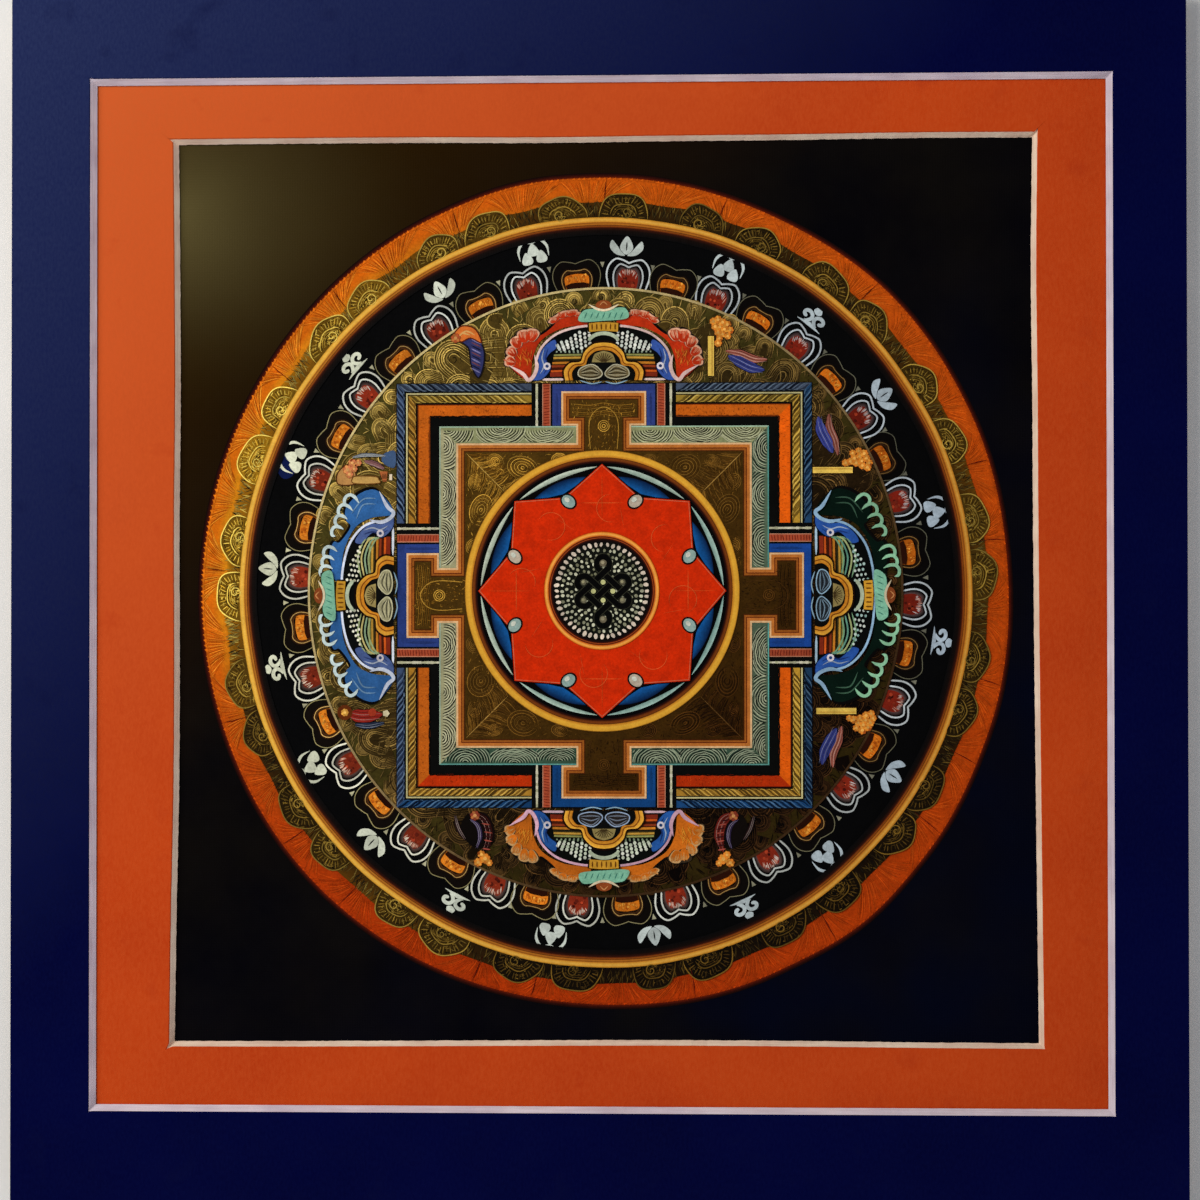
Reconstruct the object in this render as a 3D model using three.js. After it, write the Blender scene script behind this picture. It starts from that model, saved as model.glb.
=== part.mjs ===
// A small mandala painting on black cloth, lying face up behind a double window mount.
// Millimetres. +X is the picture's right, +Y its top, and +Z points at whoever looks at it.
// The origin lies under the middle of the outer board, on the surface that the cloth rests on.

import * as THREE from 'three';

// Driving sizes
const AIR = 0.3; // between one sheet and the next
const CLOTH_THICKNESS = 1;
const INNER_THICKNESS = 1.4;
const OUTER_THICKNESS = 1.5;
const OUTER_WIDTH = 254;
const OUTER_HEIGHT = 262;
const INNER_TRIM = 2; // the inner board is cut this much smaller all round, so that it stays hidden
const CLOTH_MARGIN = 11; // how far the cloth runs on behind the inner board

// The windows, from the middle of the outer board: the outer one at its face, the inner one at its back
const outerWindow = { left: -110.1, right: 111.5, bottom: -110.8, top: 113.7 };
const innerWindow = { left: -91, right: 94.5, bottom: -95.5, top: 99.6 };
const OUTER_BEVEL = 1.5; // how much wider each window is at the board's face than at its back
const INNER_BEVEL = 1.2;
const KNIFE_STEPS = 18; // straight steps along each side of a hand-cut window

// The inner window was cut by hand. Each side strays outward from its straight line by these
// amounts, at even steps from corner to corner, in anticlockwise order.
const knifeStrays = {
  bottom: [0.3, 0.2, 0, -0.2, -0.35, -0.3, -0.1, 0],
  right: [0.9, 0.6, 0.35, 0.1, -0.1, -0.2, -0.45, -0.1],
  top: [0.3, 0.35, 0.1, 0, -0.2, 0, 0, -0.1],
  left: [0, -0.3, -0.45, -0.2, -0.3, -0.2, 0.35, 0.7],
};
const straightCut = { bottom: [0, 0], right: [0, 0], top: [0, 0], left: [0, 0] };

const colours = {
  cloth: 0x14130e,
  innerBoard: 0xb65320,
  outerBoard: 0x0b1740,
};

// A rectangle's corners and sides, anticlockwise from the lower left
function sidesOf(box) {
  const corner = {
    lowerLeft: new THREE.Vector2(box.left, box.bottom),
    lowerRight: new THREE.Vector2(box.right, box.bottom),
    upperRight: new THREE.Vector2(box.right, box.top),
    upperLeft: new THREE.Vector2(box.left, box.top),
  };
  return [
    { name: 'bottom', from: corner.lowerLeft, to: corner.lowerRight, outward: new THREE.Vector2(0, -1) },
    { name: 'right', from: corner.lowerRight, to: corner.upperRight, outward: new THREE.Vector2(1, 0) },
    { name: 'top', from: corner.upperRight, to: corner.upperLeft, outward: new THREE.Vector2(0, 1) },
    { name: 'left', from: corner.upperLeft, to: corner.lowerLeft, outward: new THREE.Vector2(-1, 0) },
  ];
}

// The outline of a window whose sides stray by the given amounts and stand out by grow all round
function windowOutline(box, strays, grow, steps) {
  const sides = sidesOf(box);
  const corners = sides.map((side, i) => {
    const before = sides[(i + sides.length - 1) % sides.length];
    return side.from
      .clone()
      .addScaledVector(side.outward, strays[side.name][0] + grow)
      .addScaledVector(before.outward, strays[before.name].at(-1) + grow);
  });
  return sides.flatMap((side, i) => {
    const from = corners[i];
    const to = corners[(i + 1) % corners.length];
    const row = strays[side.name];
    const knots = row.map((stray, k) => {
      const t = k / (row.length - 1);
      const straight = THREE.MathUtils.lerp(row[0], row.at(-1), t);
      return from.clone().lerp(to, t).addScaledVector(side.outward, stray - straight);
    });
    return new THREE.SplineCurve(knots).getPoints(steps).slice(0, -1);
  });
}

// A board with a window whose wall slopes from the smaller outline at its back to the larger at its face
function windowBoard(outline, backWindow, faceWindow, thickness) {
  const positions = [];
  const indices = [];

  const addRing = (points, z) => {
    const first = positions.length / 3;
    points.forEach((point) => positions.push(point.x, point.y, z));
    return first;
  };
  const addWall = (lower, upper, count) => {
    for (let i = 0; i < count; i += 1) {
      const next = (i + 1) % count;
      indices.push(lower + i, lower + next, upper + next);
      indices.push(lower + i, upper + next, upper + i);
    }
  };
  const addFace = (outlineStart, window, windowStart, facesUp) => {
    const points = [...outline, ...window];
    const vertexOf = (k) => (k < outline.length ? outlineStart + k : windowStart + k - outline.length);
    THREE.ShapeUtils.triangulateShape([...outline], [[...window]]).forEach(([a, b, c]) => {
      const ab = points[b].clone().sub(points[a]);
      const ac = points[c].clone().sub(points[a]);
      const isUp = ab.cross(ac) > 0;
      const order = isUp === facesUp ? [a, b, c] : [a, c, b];
      indices.push(...order.map(vertexOf));
    });
  };

  const outlineBack = addRing(outline, 0);
  const outlineFace = addRing(outline, thickness);
  const windowBack = addRing(backWindow, 0);
  const windowFace = addRing(faceWindow, thickness);
  addWall(outlineBack, outlineFace, outline.length);
  addWall(windowFace, windowBack, backWindow.length);
  addFace(outlineBack, backWindow, windowBack, false);
  addFace(outlineFace, faceWindow, windowFace, true);

  const geometry = new THREE.BufferGeometry();
  geometry.setAttribute('position', new THREE.Float32BufferAttribute(positions, 3));
  geometry.setIndex(indices);
  geometry.computeVertexNormals();
  return geometry;
}

function rectangle(width, height) {
  const box = { left: -width / 2, right: width / 2, bottom: -height / 2, top: height / 2 };
  return sidesOf(box).map((side) => side.from);
}

function sheetMesh(name, geometry, colour, roughness, z) {
  const material = new THREE.MeshStandardMaterial({ color: colour, roughness, metalness: 0 });
  const mesh = new THREE.Mesh(geometry, material);
  mesh.name = name;
  mesh.position.z = z;
  return mesh;
}

// The cloth is stretched flat and trimmed to a plain rectangle behind the inner window
function paintedCloth() {
  const shape = new THREE.Shape([
    new THREE.Vector2(innerWindow.left - CLOTH_MARGIN, innerWindow.bottom - CLOTH_MARGIN),
    new THREE.Vector2(innerWindow.right + CLOTH_MARGIN, innerWindow.bottom - CLOTH_MARGIN),
    new THREE.Vector2(innerWindow.right + CLOTH_MARGIN, innerWindow.top + CLOTH_MARGIN),
    new THREE.Vector2(innerWindow.left - CLOTH_MARGIN, innerWindow.top + CLOTH_MARGIN),
  ]);
  const geometry = new THREE.ExtrudeGeometry(shape, { depth: CLOTH_THICKNESS, bevelEnabled: false });
  return sheetMesh('painted_canvas', geometry, colours.cloth, 0.9, 0);
}

function innerMount() {
  const outline = rectangle(OUTER_WIDTH - 2 * INNER_TRIM, OUTER_HEIGHT - 2 * INNER_TRIM);
  const backWindow = windowOutline(innerWindow, knifeStrays, 0, KNIFE_STEPS);
  const faceWindow = windowOutline(innerWindow, knifeStrays, INNER_BEVEL, KNIFE_STEPS);
  const geometry = windowBoard(outline, backWindow, faceWindow, INNER_THICKNESS);
  return sheetMesh('inner_mount', geometry, colours.innerBoard, 0.85, CLOTH_THICKNESS + AIR);
}

function outerMount() {
  const outline = rectangle(OUTER_WIDTH, OUTER_HEIGHT);
  const backWindow = windowOutline(outerWindow, straightCut, -OUTER_BEVEL, 1);
  const faceWindow = windowOutline(outerWindow, straightCut, 0, 1);
  const geometry = windowBoard(outline, backWindow, faceWindow, OUTER_THICKNESS);
  const z = CLOTH_THICKNESS + AIR + INNER_THICKNESS + AIR;
  return sheetMesh('outer_mount', geometry, colours.outerBoard, 0.8, z);
}

const painting = new THREE.Group();
painting.add(paintedCloth(), innerMount(), outerMount());

export default painting;
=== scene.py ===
"""The looks of a mandala painted on black cloth, lying behind a double window mount."""

import math
import random

import bpy
from mathutils import Matrix, Vector
from mathutils.geometry import tessellate_polygon


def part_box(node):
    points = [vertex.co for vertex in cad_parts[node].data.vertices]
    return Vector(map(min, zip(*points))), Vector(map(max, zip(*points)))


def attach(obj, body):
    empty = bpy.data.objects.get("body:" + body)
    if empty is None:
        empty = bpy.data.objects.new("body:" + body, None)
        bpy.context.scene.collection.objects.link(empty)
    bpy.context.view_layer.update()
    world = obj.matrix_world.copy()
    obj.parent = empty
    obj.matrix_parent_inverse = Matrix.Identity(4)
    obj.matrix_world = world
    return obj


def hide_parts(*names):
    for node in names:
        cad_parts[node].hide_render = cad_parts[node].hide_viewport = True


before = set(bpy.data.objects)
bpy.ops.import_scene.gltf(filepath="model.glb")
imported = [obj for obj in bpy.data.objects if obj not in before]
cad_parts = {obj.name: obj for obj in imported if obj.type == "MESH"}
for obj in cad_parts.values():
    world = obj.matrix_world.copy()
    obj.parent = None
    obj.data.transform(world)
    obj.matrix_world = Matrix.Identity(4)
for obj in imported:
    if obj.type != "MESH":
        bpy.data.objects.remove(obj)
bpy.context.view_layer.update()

MM = 0.001

# Levels above the cloth, in millimetres: paint is laid in thin coats, each a little above the last
CLOTH_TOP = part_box("painted_canvas")[1].z / MM
COAT = 0.045
HAIR = 0.0004  # keeps strokes of one coat from lying in exactly one plane
HAIRS_IN_A_COAT = 60

# The mandala as painted, in millimetres on the cloth: its rings are slightly taller than wide
MIDDLE = (1.9, 1.8)
TALLER = 1.024
FIRE_FOOT = 82.9
GOLD_RING = 79.3
BLACK_RING = 75.4
PETAL_FOOT = 64.6
RED_PETALS = (  # degrees clockwise from the top; an orange petal stands between each two
    4.4, 21.4, 38.9, 56.4, 73.3, 92.3, 110.4, 128.5, 147.8, 166.6,
    185, 201.1, 218.5, 236.7, 254.2, 272.8, 291.1, 308.8, 326.9, 345.3,
)

BLACK = (5, 5, 6)
OLIVE = (70, 62, 24)
WHITE = (226, 226, 214)
DARK_RED = (70, 16, 8)


# Drawing aids

def on_ring(radius, degrees):
    """The place at a radius from the mandala's middle, clockwise from its top."""
    angle = math.radians(degrees)
    return (MIDDLE[0] + radius * math.sin(angle), MIDDLE[1] + TALLER * radius * math.cos(angle))


def ring(radius, steps=360):
    """A whole ring as a closed path. The radius may be a number or a function of degrees."""
    radius_at = radius if callable(radius) else lambda degrees: radius
    angles = [360 * k / steps for k in range(steps + 1)]
    return [on_ring(radius_at(a), a) for a in angles]


def bent(points, radius, degrees):
    """A motif drawn upright, x to the right and y outwards, bent round the mandala's middle."""
    return [on_ring(radius + y, degrees + math.degrees(x / radius)) for x, y in points]


def moved(points, origin, turn=0, size=1):
    """A motif drawn round its own origin, scaled, turned anticlockwise by degrees and moved."""
    c, s = math.cos(math.radians(turn)) * size, math.sin(math.radians(turn)) * size
    return [(origin[0] + c * x - s * y, origin[1] + s * x + c * y) for x, y in points]


def arc(centre, radius, start, end, steps=24, squash=1):
    """Part of a circle or, with squash, of an ellipse, in degrees anticlockwise from the right."""
    angles = [math.radians(start + (end - start) * k / steps) for k in range(steps + 1)]
    return [(centre[0] + radius * math.cos(a), centre[1] + radius * squash * math.sin(a)) for a in angles]


def spiral(centre, outer, inner, start, turns, steps=26):
    """A curl that winds inwards."""
    path = []
    for k in range(steps + 1):
        t = k / steps
        angle = math.radians(start + 360 * turns * t)
        radius = outer + (inner - outer) * t
        path.append((centre[0] + radius * math.cos(angle), centre[1] + radius * math.sin(angle)))
    return path


def smooth(points, steps=6, closed=False):
    """A curve through the given points."""
    count = len(points)
    spans = count if closed else count - 1
    path = []
    for i in range(spans):
        if closed:
            a, b, c, d = (points[(i + k) % count] for k in (-1, 0, 1, 2))
        else:
            a, b, c, d = (points[min(max(i + k, 0), count - 1)] for k in (-1, 0, 1, 2))
        for k in range(steps):
            t = k / steps
            path.append(tuple(
                0.5 * (2 * b[n] + (c[n] - a[n]) * t + (2 * a[n] - 5 * b[n] + 4 * c[n] - d[n]) * t * t
                       + (3 * b[n] - a[n] - 3 * c[n] + d[n]) * t ** 3)
                for n in (0, 1)))
    return path if closed else path + [tuple(points[-1])]


def blob(points, steps=5):
    """A closed curve through the given points."""
    return smooth(points, steps, closed=True)


def mirrored(points, sign):
    """A motif as drawn or, with sign -1, with its right and left swapped."""
    return [(sign * x, y) for x, y in points]


def stretched(points, along, across):
    return [(along * x, across * y) for x, y in points]


def shifted(points, dx, dy):
    return [(x + dx, y + dy) for x, y in points]


def both_halves(points):
    """A right-left symmetrical path from its left half, which ends on the axis."""
    return list(points) + [(-x, y) for x, y in reversed(points[:-1])]


def runs(points, inside):
    """The stretches of a line that lie inside."""
    stretches = [[]]
    for point in points:
        if inside(point):
            stretches[-1].append(point)
        elif stretches[-1]:
            stretches.append([])
    return [stretch for stretch in stretches if len(stretch) > 2]


def painted_light_share(point):
    """From 1 at the painting's upper left to 0 at its lower right: painted light, lighter where the light
    falls from the upper left.
    """
    return min(1, max(0, 0.5 + (point[1] - point[0]) / (2.4 * PETAL_FOOT)))


def mixed(first, second, share):
    return tuple(a + (b - a) * share for a, b in zip(first, second))


def linear(colour):
    """Screen colour from 0 to 255 as the linear values that a mesh holds."""
    return [((c / 255 + 0.055) / 1.055) ** 2.4 if c > 10.3 else max(c, 0) / 255 / 12.92 for c in colour] + [1]


class Paint:
    """Painting of one subject: flat shapes and brush strokes on the cloth, joined into one mesh."""

    def __init__(self, name, unevenness=0.08):
        self.name = name
        self.unevenness = unevenness
        self.hand = random.Random(name)
        self.points = []
        self.faces = []
        self.colours = []
        self.strokes = 0

    def height(self, coat):
        self.strokes += 1
        return CLOTH_TOP + coat * COAT + self.strokes % HAIRS_IN_A_COAT * HAIR

    def add(self, points, colours, faces, coat):
        z = self.height(coat)
        first = len(self.points)
        self.points += [(x * MM, y * MM, z * MM) for x, y in points]
        self.colours += colours
        self.faces += [tuple(first + i for i in face) for face in faces]

    def tone(self, colour):
        """The colour as it comes off the brush this time."""
        share = 1 + self.hand.uniform(-self.unevenness, self.unevenness)
        return linear([c * share for c in colour])

    def fill(self, outline, colour, coat):
        faces = tessellate_polygon([[Vector((x, y, 0)) for x, y in outline]])
        self.add(outline, [self.tone(colour)] * len(outline), faces, coat)

    def shaded(self, near, far, near_colour, far_colour, coat):
        """A strip between two paths of as many points, running from one colour to the other."""
        count = len(near)
        colours = [self.tone(near_colour)] * count + [self.tone(far_colour)] * count
        faces = [(i, i + 1, count + i + 1, count + i) for i in range(count - 1)]
        self.add(list(near) + list(far), colours, faces, coat)

    def rings(self, stops, coat, steps=360):
        """Rings inside each other, from rows of radius and colour, shaded from row to row."""
        paths = [ring(radius, steps) for radius, _ in stops]
        count = steps + 1
        points = [p for path in paths for p in path]
        colours = []
        for _, colour in stops:
            colour_at = colour if callable(colour) else lambda degrees, colour=colour: colour
            colours += [linear(colour_at(360 * k / steps)) for k in range(count)]
        faces = [
            (row * count + k, row * count + k + 1, (row + 1) * count + k + 1, (row + 1) * count + k)
            for row in range(len(stops) - 1) for k in range(steps)
        ]
        self.add(points, colours, faces, coat)

    def stroke(self, path, width, colour, coat, ends=0.0, closed=False):
        """A brush stroke along a path. Over the share ends of its length it thins to a tip."""
        if closed:
            path = list(path) + [path[0]]
        if len(path) == 2:
            path = [mixed(path[0], path[1], k / 4) for k in range(5)]
        count = len(path)
        left, right = [], []
        for i, (x, y) in enumerate(path):
            if closed and i in (0, count - 1):
                ahead, behind = path[1], path[-2]
            else:
                ahead, behind = path[min(i + 1, count - 1)], path[max(i - 1, 0)]
            dx, dy = ahead[0] - behind[0], ahead[1] - behind[1]
            length = math.hypot(dx, dy) or 1
            t = i / (count - 1)
            half = width / 2
            if ends:
                half *= min(1, 0.12 + min(t, 1 - t) / ends)
            left.append((x - dy / length * half, y + dx / length * half))
            right.append((x + dy / length * half, y - dx / length * half))
        tone = self.tone(colour)
        faces = [(i, i + 1, count + i + 1, count + i) for i in range(count - 1)]
        self.add(left + right, [tone] * (2 * count), faces, coat)

    def dot(self, centre, radius, colour, coat, squash=1, turn=0, sides=10):
        outline = moved(arc((0, 0), radius, 0, 360 - 360 / sides, sides - 1, squash), centre, turn)
        self.fill(outline, colour, coat)

    def make(self, material):
        faces = []
        for face in self.faces:
            a, b, c = (self.points[i] for i in face[:3])
            turns_left = (b[0] - a[0]) * (c[1] - a[1]) > (b[1] - a[1]) * (c[0] - a[0])
            faces.append(face if turns_left else tuple(reversed(face)))
        mesh = bpy.data.meshes.new(self.name)
        mesh.from_pydata(self.points, [], faces)
        attribute = mesh.color_attributes.new("paint", "FLOAT_COLOR", "POINT")
        attribute.data.foreach_set("color", [c for colour in self.colours for c in colour])
        mesh.materials.append(material)
        piece = bpy.data.objects.new(self.name, mesh)
        bpy.context.scene.collection.objects.link(piece)
        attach(piece, "root")
        return piece


# Materials

class Finish:
    """A procedural material: its Principled surface and short calls for the nodes that feed it."""

    def __init__(self, name, roughness):
        self.material = bpy.data.materials.new(name)
        self.material.use_nodes = True
        self.tree = self.material.node_tree
        self.surface = self.tree.nodes["Principled BSDF"]
        self.surface.inputs["Roughness"].default_value = roughness
        self.place = self.node("ShaderNodeTexCoord").outputs["Object"]

    def node(self, kind, **settings):
        node = self.tree.nodes.new(kind)
        for key, value in settings.items():
            setattr(node, key, value)
        return node

    def link(self, output, socket):
        self.tree.links.new(output, socket)

    def noise(self, period, detail=3, stretch=(1, 1, 1)):
        """Soft noise whose lumps are about this many millimetres apart."""
        mapping = self.node("ShaderNodeMapping")
        mapping.inputs["Scale"].default_value = [1 / (period * MM * s) for s in stretch]
        texture = self.node("ShaderNodeTexNoise")
        texture.inputs["Scale"].default_value = 1
        texture.inputs["Detail"].default_value = detail
        self.link(self.place, mapping.inputs["Vector"])
        self.link(mapping.outputs["Vector"], texture.inputs["Vector"])
        return texture.outputs["Fac"]

    def threads(self, pitch, direction):
        """Ridges of threads that lie this many millimetres apart across X or Y."""
        texture = self.node("ShaderNodeTexWave", bands_direction=direction)
        texture.inputs["Scale"].default_value = math.tau / 20 / (pitch * MM)
        texture.inputs["Distortion"].default_value = 0.6
        texture.inputs["Detail Scale"].default_value = 0.4
        self.link(self.place, texture.inputs["Vector"])
        return texture.outputs["Fac"]

    def glow(self, middle, reach):
        """From 1 at a place to 0 at this reach across and along from it, in millimetres."""
        mapping = self.node("ShaderNodeMapping")
        mapping.inputs["Scale"].default_value = [1 / (r * MM) for r in reach] + [0]
        mapping.inputs["Location"].default_value = [-m / r for m, r in zip(middle, reach)] + [0]
        texture = self.node("ShaderNodeTexGradient", gradient_type="SPHERICAL")
        self.link(self.place, mapping.inputs["Vector"])
        self.link(mapping.outputs["Vector"], texture.inputs["Vector"])
        return texture.outputs["Fac"]

    def math(self, operation, first, second):
        node = self.node("ShaderNodeMath", operation=operation)
        for socket, value in zip(node.inputs, (first, second)):
            if isinstance(value, (int, float)):
                socket.default_value = value
            else:
                self.link(value, socket)
        return node.outputs[0]

    def scaled(self, value, low, high, start=0.3, end=0.7):
        """A value from start to end, mapped to run from low to high."""
        node = self.node("ShaderNodeMapRange")
        self.link(value, node.inputs["Value"])
        for name, number in (("From Min", start), ("From Max", end), ("To Min", low), ("To Max", high)):
            node.inputs[name].default_value = number
        return node.outputs["Result"]

    def blend(self, share, first, second, kind="MIX"):
        node = self.node("ShaderNodeMix", data_type="RGBA", blend_type=kind)
        sockets = (node.inputs["Factor"], node.inputs[6], node.inputs[7])
        for socket, value in zip(sockets, (share, first, second)):
            if isinstance(value, (int, float)):
                socket.default_value = value
            elif isinstance(value, (tuple, list)):
                socket.default_value = linear(value)
            else:
                self.link(value, socket)
        return node.outputs[2]

    def bump(self, height, depth, strength=1):
        """Relief of this depth in millimetres, laid over any relief that is there already."""
        node = self.node("ShaderNodeBump")
        node.inputs["Distance"].default_value = depth * MM
        node.inputs["Strength"].default_value = strength
        self.link(height, node.inputs["Height"])
        normal = self.surface.inputs["Normal"]
        if normal.is_linked:
            self.link(normal.links[0].from_socket, node.inputs["Normal"])
        self.link(node.outputs["Normal"], normal)

    def colour(self, output):
        self.link(output, self.surface.inputs["Base Color"])

    def roughness(self, output):
        self.link(output, self.surface.inputs["Roughness"])


WEAVE_PITCH = 0.55


def weave(finish, depth):
    across = finish.threads(WEAVE_PITCH, "X")
    along = finish.threads(WEAVE_PITCH, "Y")
    finish.bump(finish.math("ADD", across, along), depth)


def cloth_finish():
    """Black primed cotton: a fine weave under size, with a painted reflection: an olive and brown haze
    towards the upper left.
    """
    finish = Finish("black_primed_cotton", 0.82)
    finish.surface.inputs["Specular IOR Level"].default_value = 0.02
    black = finish.blend(finish.scaled(finish.noise(22, 4), 0, 1), (5, 4, 8), (15, 12, 10))
    axes = finish.node("ShaderNodeSeparateXYZ")
    finish.link(finish.place, axes.inputs[0])
    corner = finish.math("SUBTRACT", axes.outputs["Y"], axes.outputs["X"])
    cool = finish.math("MULTIPLY", finish.scaled(corner, 1, 0, start=-0.12, end=0.02),
                       finish.scaled(finish.noise(34, 2), 0, 1))
    black = finish.blend(cool, black, (3, 6, 24))
    # painted reflection: a brown haze over the cloth's upper left corner
    painted_haze = finish.scaled(corner, 0, 1, start=0.05, end=0.14)
    black = finish.blend(painted_haze, black, (38, 23, 3))
    # painted reflection: an olive glow towards the upper left
    painted_reflection = finish.math("POWER", finish.glow((-93, 85), (64, 48)), 2.2)
    painted_reflection = finish.math("MULTIPLY", painted_reflection, finish.scaled(finish.noise(40, 2), 0.85, 1.15))
    finish.colour(finish.blend(painted_reflection, black, (92, 82, 48)))
    finish.roughness(finish.scaled(finish.noise(3, 3), 0.74, 0.9))
    weave(finish, 0.02)
    finish.bump(finish.noise(0.25, 2), 0.01)
    return finish.material


def pigment_finish(name, roughness, fleck, gloss=0.03, painted_falloff=0.0):
    """Stone colours in glue: each stroke's own colour, cloudy and flecked, with the weave showing through.
    The last argument darkens the colour towards dark brown at the lower right: painted shade, where less
    light falls."""
    finish = Finish(name, roughness)
    finish.surface.inputs["Specular IOR Level"].default_value = gloss
    paint = finish.node("ShaderNodeVertexColor", layer_name="paint").outputs["Color"]
    cloudy = finish.scaled(finish.noise(2.2, 3), 1 - fleck, 1 + fleck)
    grainy = finish.scaled(finish.noise(0.45, 2), 1 - fleck, 1 + fleck)
    tone = finish.math("MULTIPLY", cloudy, grainy)
    grey = finish.node("ShaderNodeCombineColor")
    for channel in grey.inputs:
        finish.link(tone, channel)
    mottled = finish.blend(1.0, paint, grey.outputs["Color"], "MULTIPLY")
    # painted shade: the colour darkens towards the lower right, away from the light
    if painted_falloff:
        axes = finish.node("ShaderNodeSeparateXYZ")
        finish.link(finish.place, axes.inputs[0])
        fall = finish.math("SUBTRACT", axes.outputs["X"], axes.outputs["Y"])
        painted_shade_share = finish.scaled(fall, 0, painted_falloff, start=-0.05, end=0.06)
        dark = finish.blend(1.0, mottled, (150, 112, 90), "MULTIPLY")
        mottled = finish.blend(painted_shade_share, mottled, dark)
    finish.colour(mottled)
    finish.roughness(finish.scaled(finish.noise(1.1, 2), roughness - 0.1, roughness + 0.1))
    weave(finish, 0.005)
    finish.bump(finish.noise(0.3, 2), 0.012)
    return finish.material


def gold_finish():
    """Powdered gold in glue, burnished here and there."""
    return pigment_finish("gold_paint", 0.5, 0.08, gloss=0.05)


def paper_finish(name, colour, shade, fleck, stain, eased_tone=None):
    """Coloured paper on a mount board: fibrous and matt, with a few rubbed and stained places. It may
    be lighter towards the upper left: a painted glow of reflected light."""
    finish = Finish(name, 0.78)
    finish.surface.inputs["Specular IOR Level"].default_value = 0.03
    base = finish.blend(finish.scaled(finish.noise(30, 3), 0, 1), colour, shade)
    # painted glow of reflected light: the paper lightens towards the upper left
    if eased_tone:
        axes = finish.node("ShaderNodeSeparateXYZ")
        finish.link(finish.place, axes.inputs[0])
        corner = finish.math("SUBTRACT", axes.outputs["Y"], axes.outputs["X"])
        base = finish.blend(finish.scaled(corner, 0, 1, start=0.04, end=0.25), base, eased_tone)
    base = finish.blend(finish.scaled(finish.noise(0.5, 3, (1, 2.2, 1)), 0, 0.35), base, fleck)
    spots = finish.scaled(finish.noise(9, 5), 0, 0.5, start=0.62, end=0.8)
    finish.colour(finish.blend(spots, base, stain))
    finish.roughness(finish.scaled(finish.noise(6, 3), 0.7, 0.88))
    finish.bump(finish.noise(0.35, 3, (1, 1.8, 1)), 0.03)
    return finish.material


def core_finish(name, colour, shade):
    """The cut edge of a board: pale pressed pulp in thin layers, a little scuffed."""
    finish = Finish(name, 0.9)
    base = finish.blend(finish.scaled(finish.noise(7, 4), 0, 1), colour, shade)
    layers = finish.noise(0.5, 2, (20, 20, 0.5))
    base = finish.blend(finish.scaled(layers, 0, 0.3), base, (150, 120, 104))
    finish.colour(base)
    finish.bump(finish.noise(0.4, 3), 0.04)
    return finish.material


def floor_finish():
    finish = Finish("pale_floor", 0.7)
    finish.colour(finish.blend(finish.scaled(finish.noise(60, 3), 0, 1), (240, 240, 238), (232, 232, 230)))
    return finish.material


# The cloth and the boards

def new_piece(name, points, faces, materials, face_materials=None):
    mesh = bpy.data.meshes.new(name)
    mesh.from_pydata(points, [], faces)
    for material in materials:
        mesh.materials.append(material)
    if face_materials:
        mesh.polygons.foreach_set("material_index", face_materials)
    piece = bpy.data.objects.new(name, mesh)
    bpy.context.scene.collection.objects.link(piece)
    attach(piece, "root")
    return piece


def make_cloth(material):
    """The trimmed cloth: a thin closed sheet whose cut edge is a little uneven and frayed."""
    low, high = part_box("painted_canvas")
    hand = random.Random("cloth")
    steps = 160
    fray = 0.00025
    corners = [(low.x, low.y), (high.x, low.y), (high.x, high.y), (low.x, high.y)]
    outline = []
    for a, b in zip(corners, corners[1:] + corners[:1]):
        for k in range(steps):
            t = k / steps
            inward = hand.uniform(0, fray) if k else 0
            x, y = a[0] + (b[0] - a[0]) * t, a[1] + (b[1] - a[1]) * t
            outline.append((x - math.copysign(inward, x), y - math.copysign(inward, y)))
    count = len(outline)
    points = [(x, y, z) for z in (low.z, high.z) for x, y in outline]
    faces = [(i, (i + 1) % count, count + (i + 1) % count, count + i) for i in range(count)]
    faces += [tuple(reversed(range(count))), tuple(range(count, 2 * count))]
    piece = new_piece("cloth_sheet", points, faces, [material])
    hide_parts("painted_canvas")
    return piece


def window_of(node, z):
    """The outline of a board's window on one level, from the frame's own solid."""
    low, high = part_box(node)
    inset = 0.001
    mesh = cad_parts[node].data
    found = {
        (round(v.co.x, 6), round(v.co.y, 6)) for v in mesh.vertices
        if abs(v.co.z - z) < inset / 10
        and low.x + inset < v.co.x < high.x - inset and low.y + inset < v.co.y < high.y - inset
    }
    middle = (sum(x for x, _ in found) / len(found), sum(y for _, y in found) / len(found))
    return sorted(found, key=lambda p: math.atan2(p[1] - middle[1], p[0] - middle[0]))


def corner_indices(outline):
    """Where the four corners are in an outline, lower left first and anticlockwise."""
    return [
        max(range(len(outline)), key=lambda i: sx * outline[i][0] + sy * outline[i][1])
        for sx, sy in ((-1, -1), (1, -1), (1, 1), (-1, 1))
    ]


def evenly_stepped(outline, steps):
    """The same outline with this many steps to each side, starting at the lower left corner."""
    corners = corner_indices(outline)
    count = len(outline)
    path = []
    for first, last in zip(corners, corners[1:] + corners[:1]):
        side = [outline[(first + k) % count] for k in range((last - first) % count + 1)]
        for k in range(steps):
            place = k / steps * (len(side) - 1)
            i = int(place)
            path.append(tuple(a + (b - a) * (place - i) for a, b in zip(side[i], side[i + 1])))
    return path


BOARD_STEPS = 220  # along each side
PAPER = 0.00022  # thickness of a board's coloured paper


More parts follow.
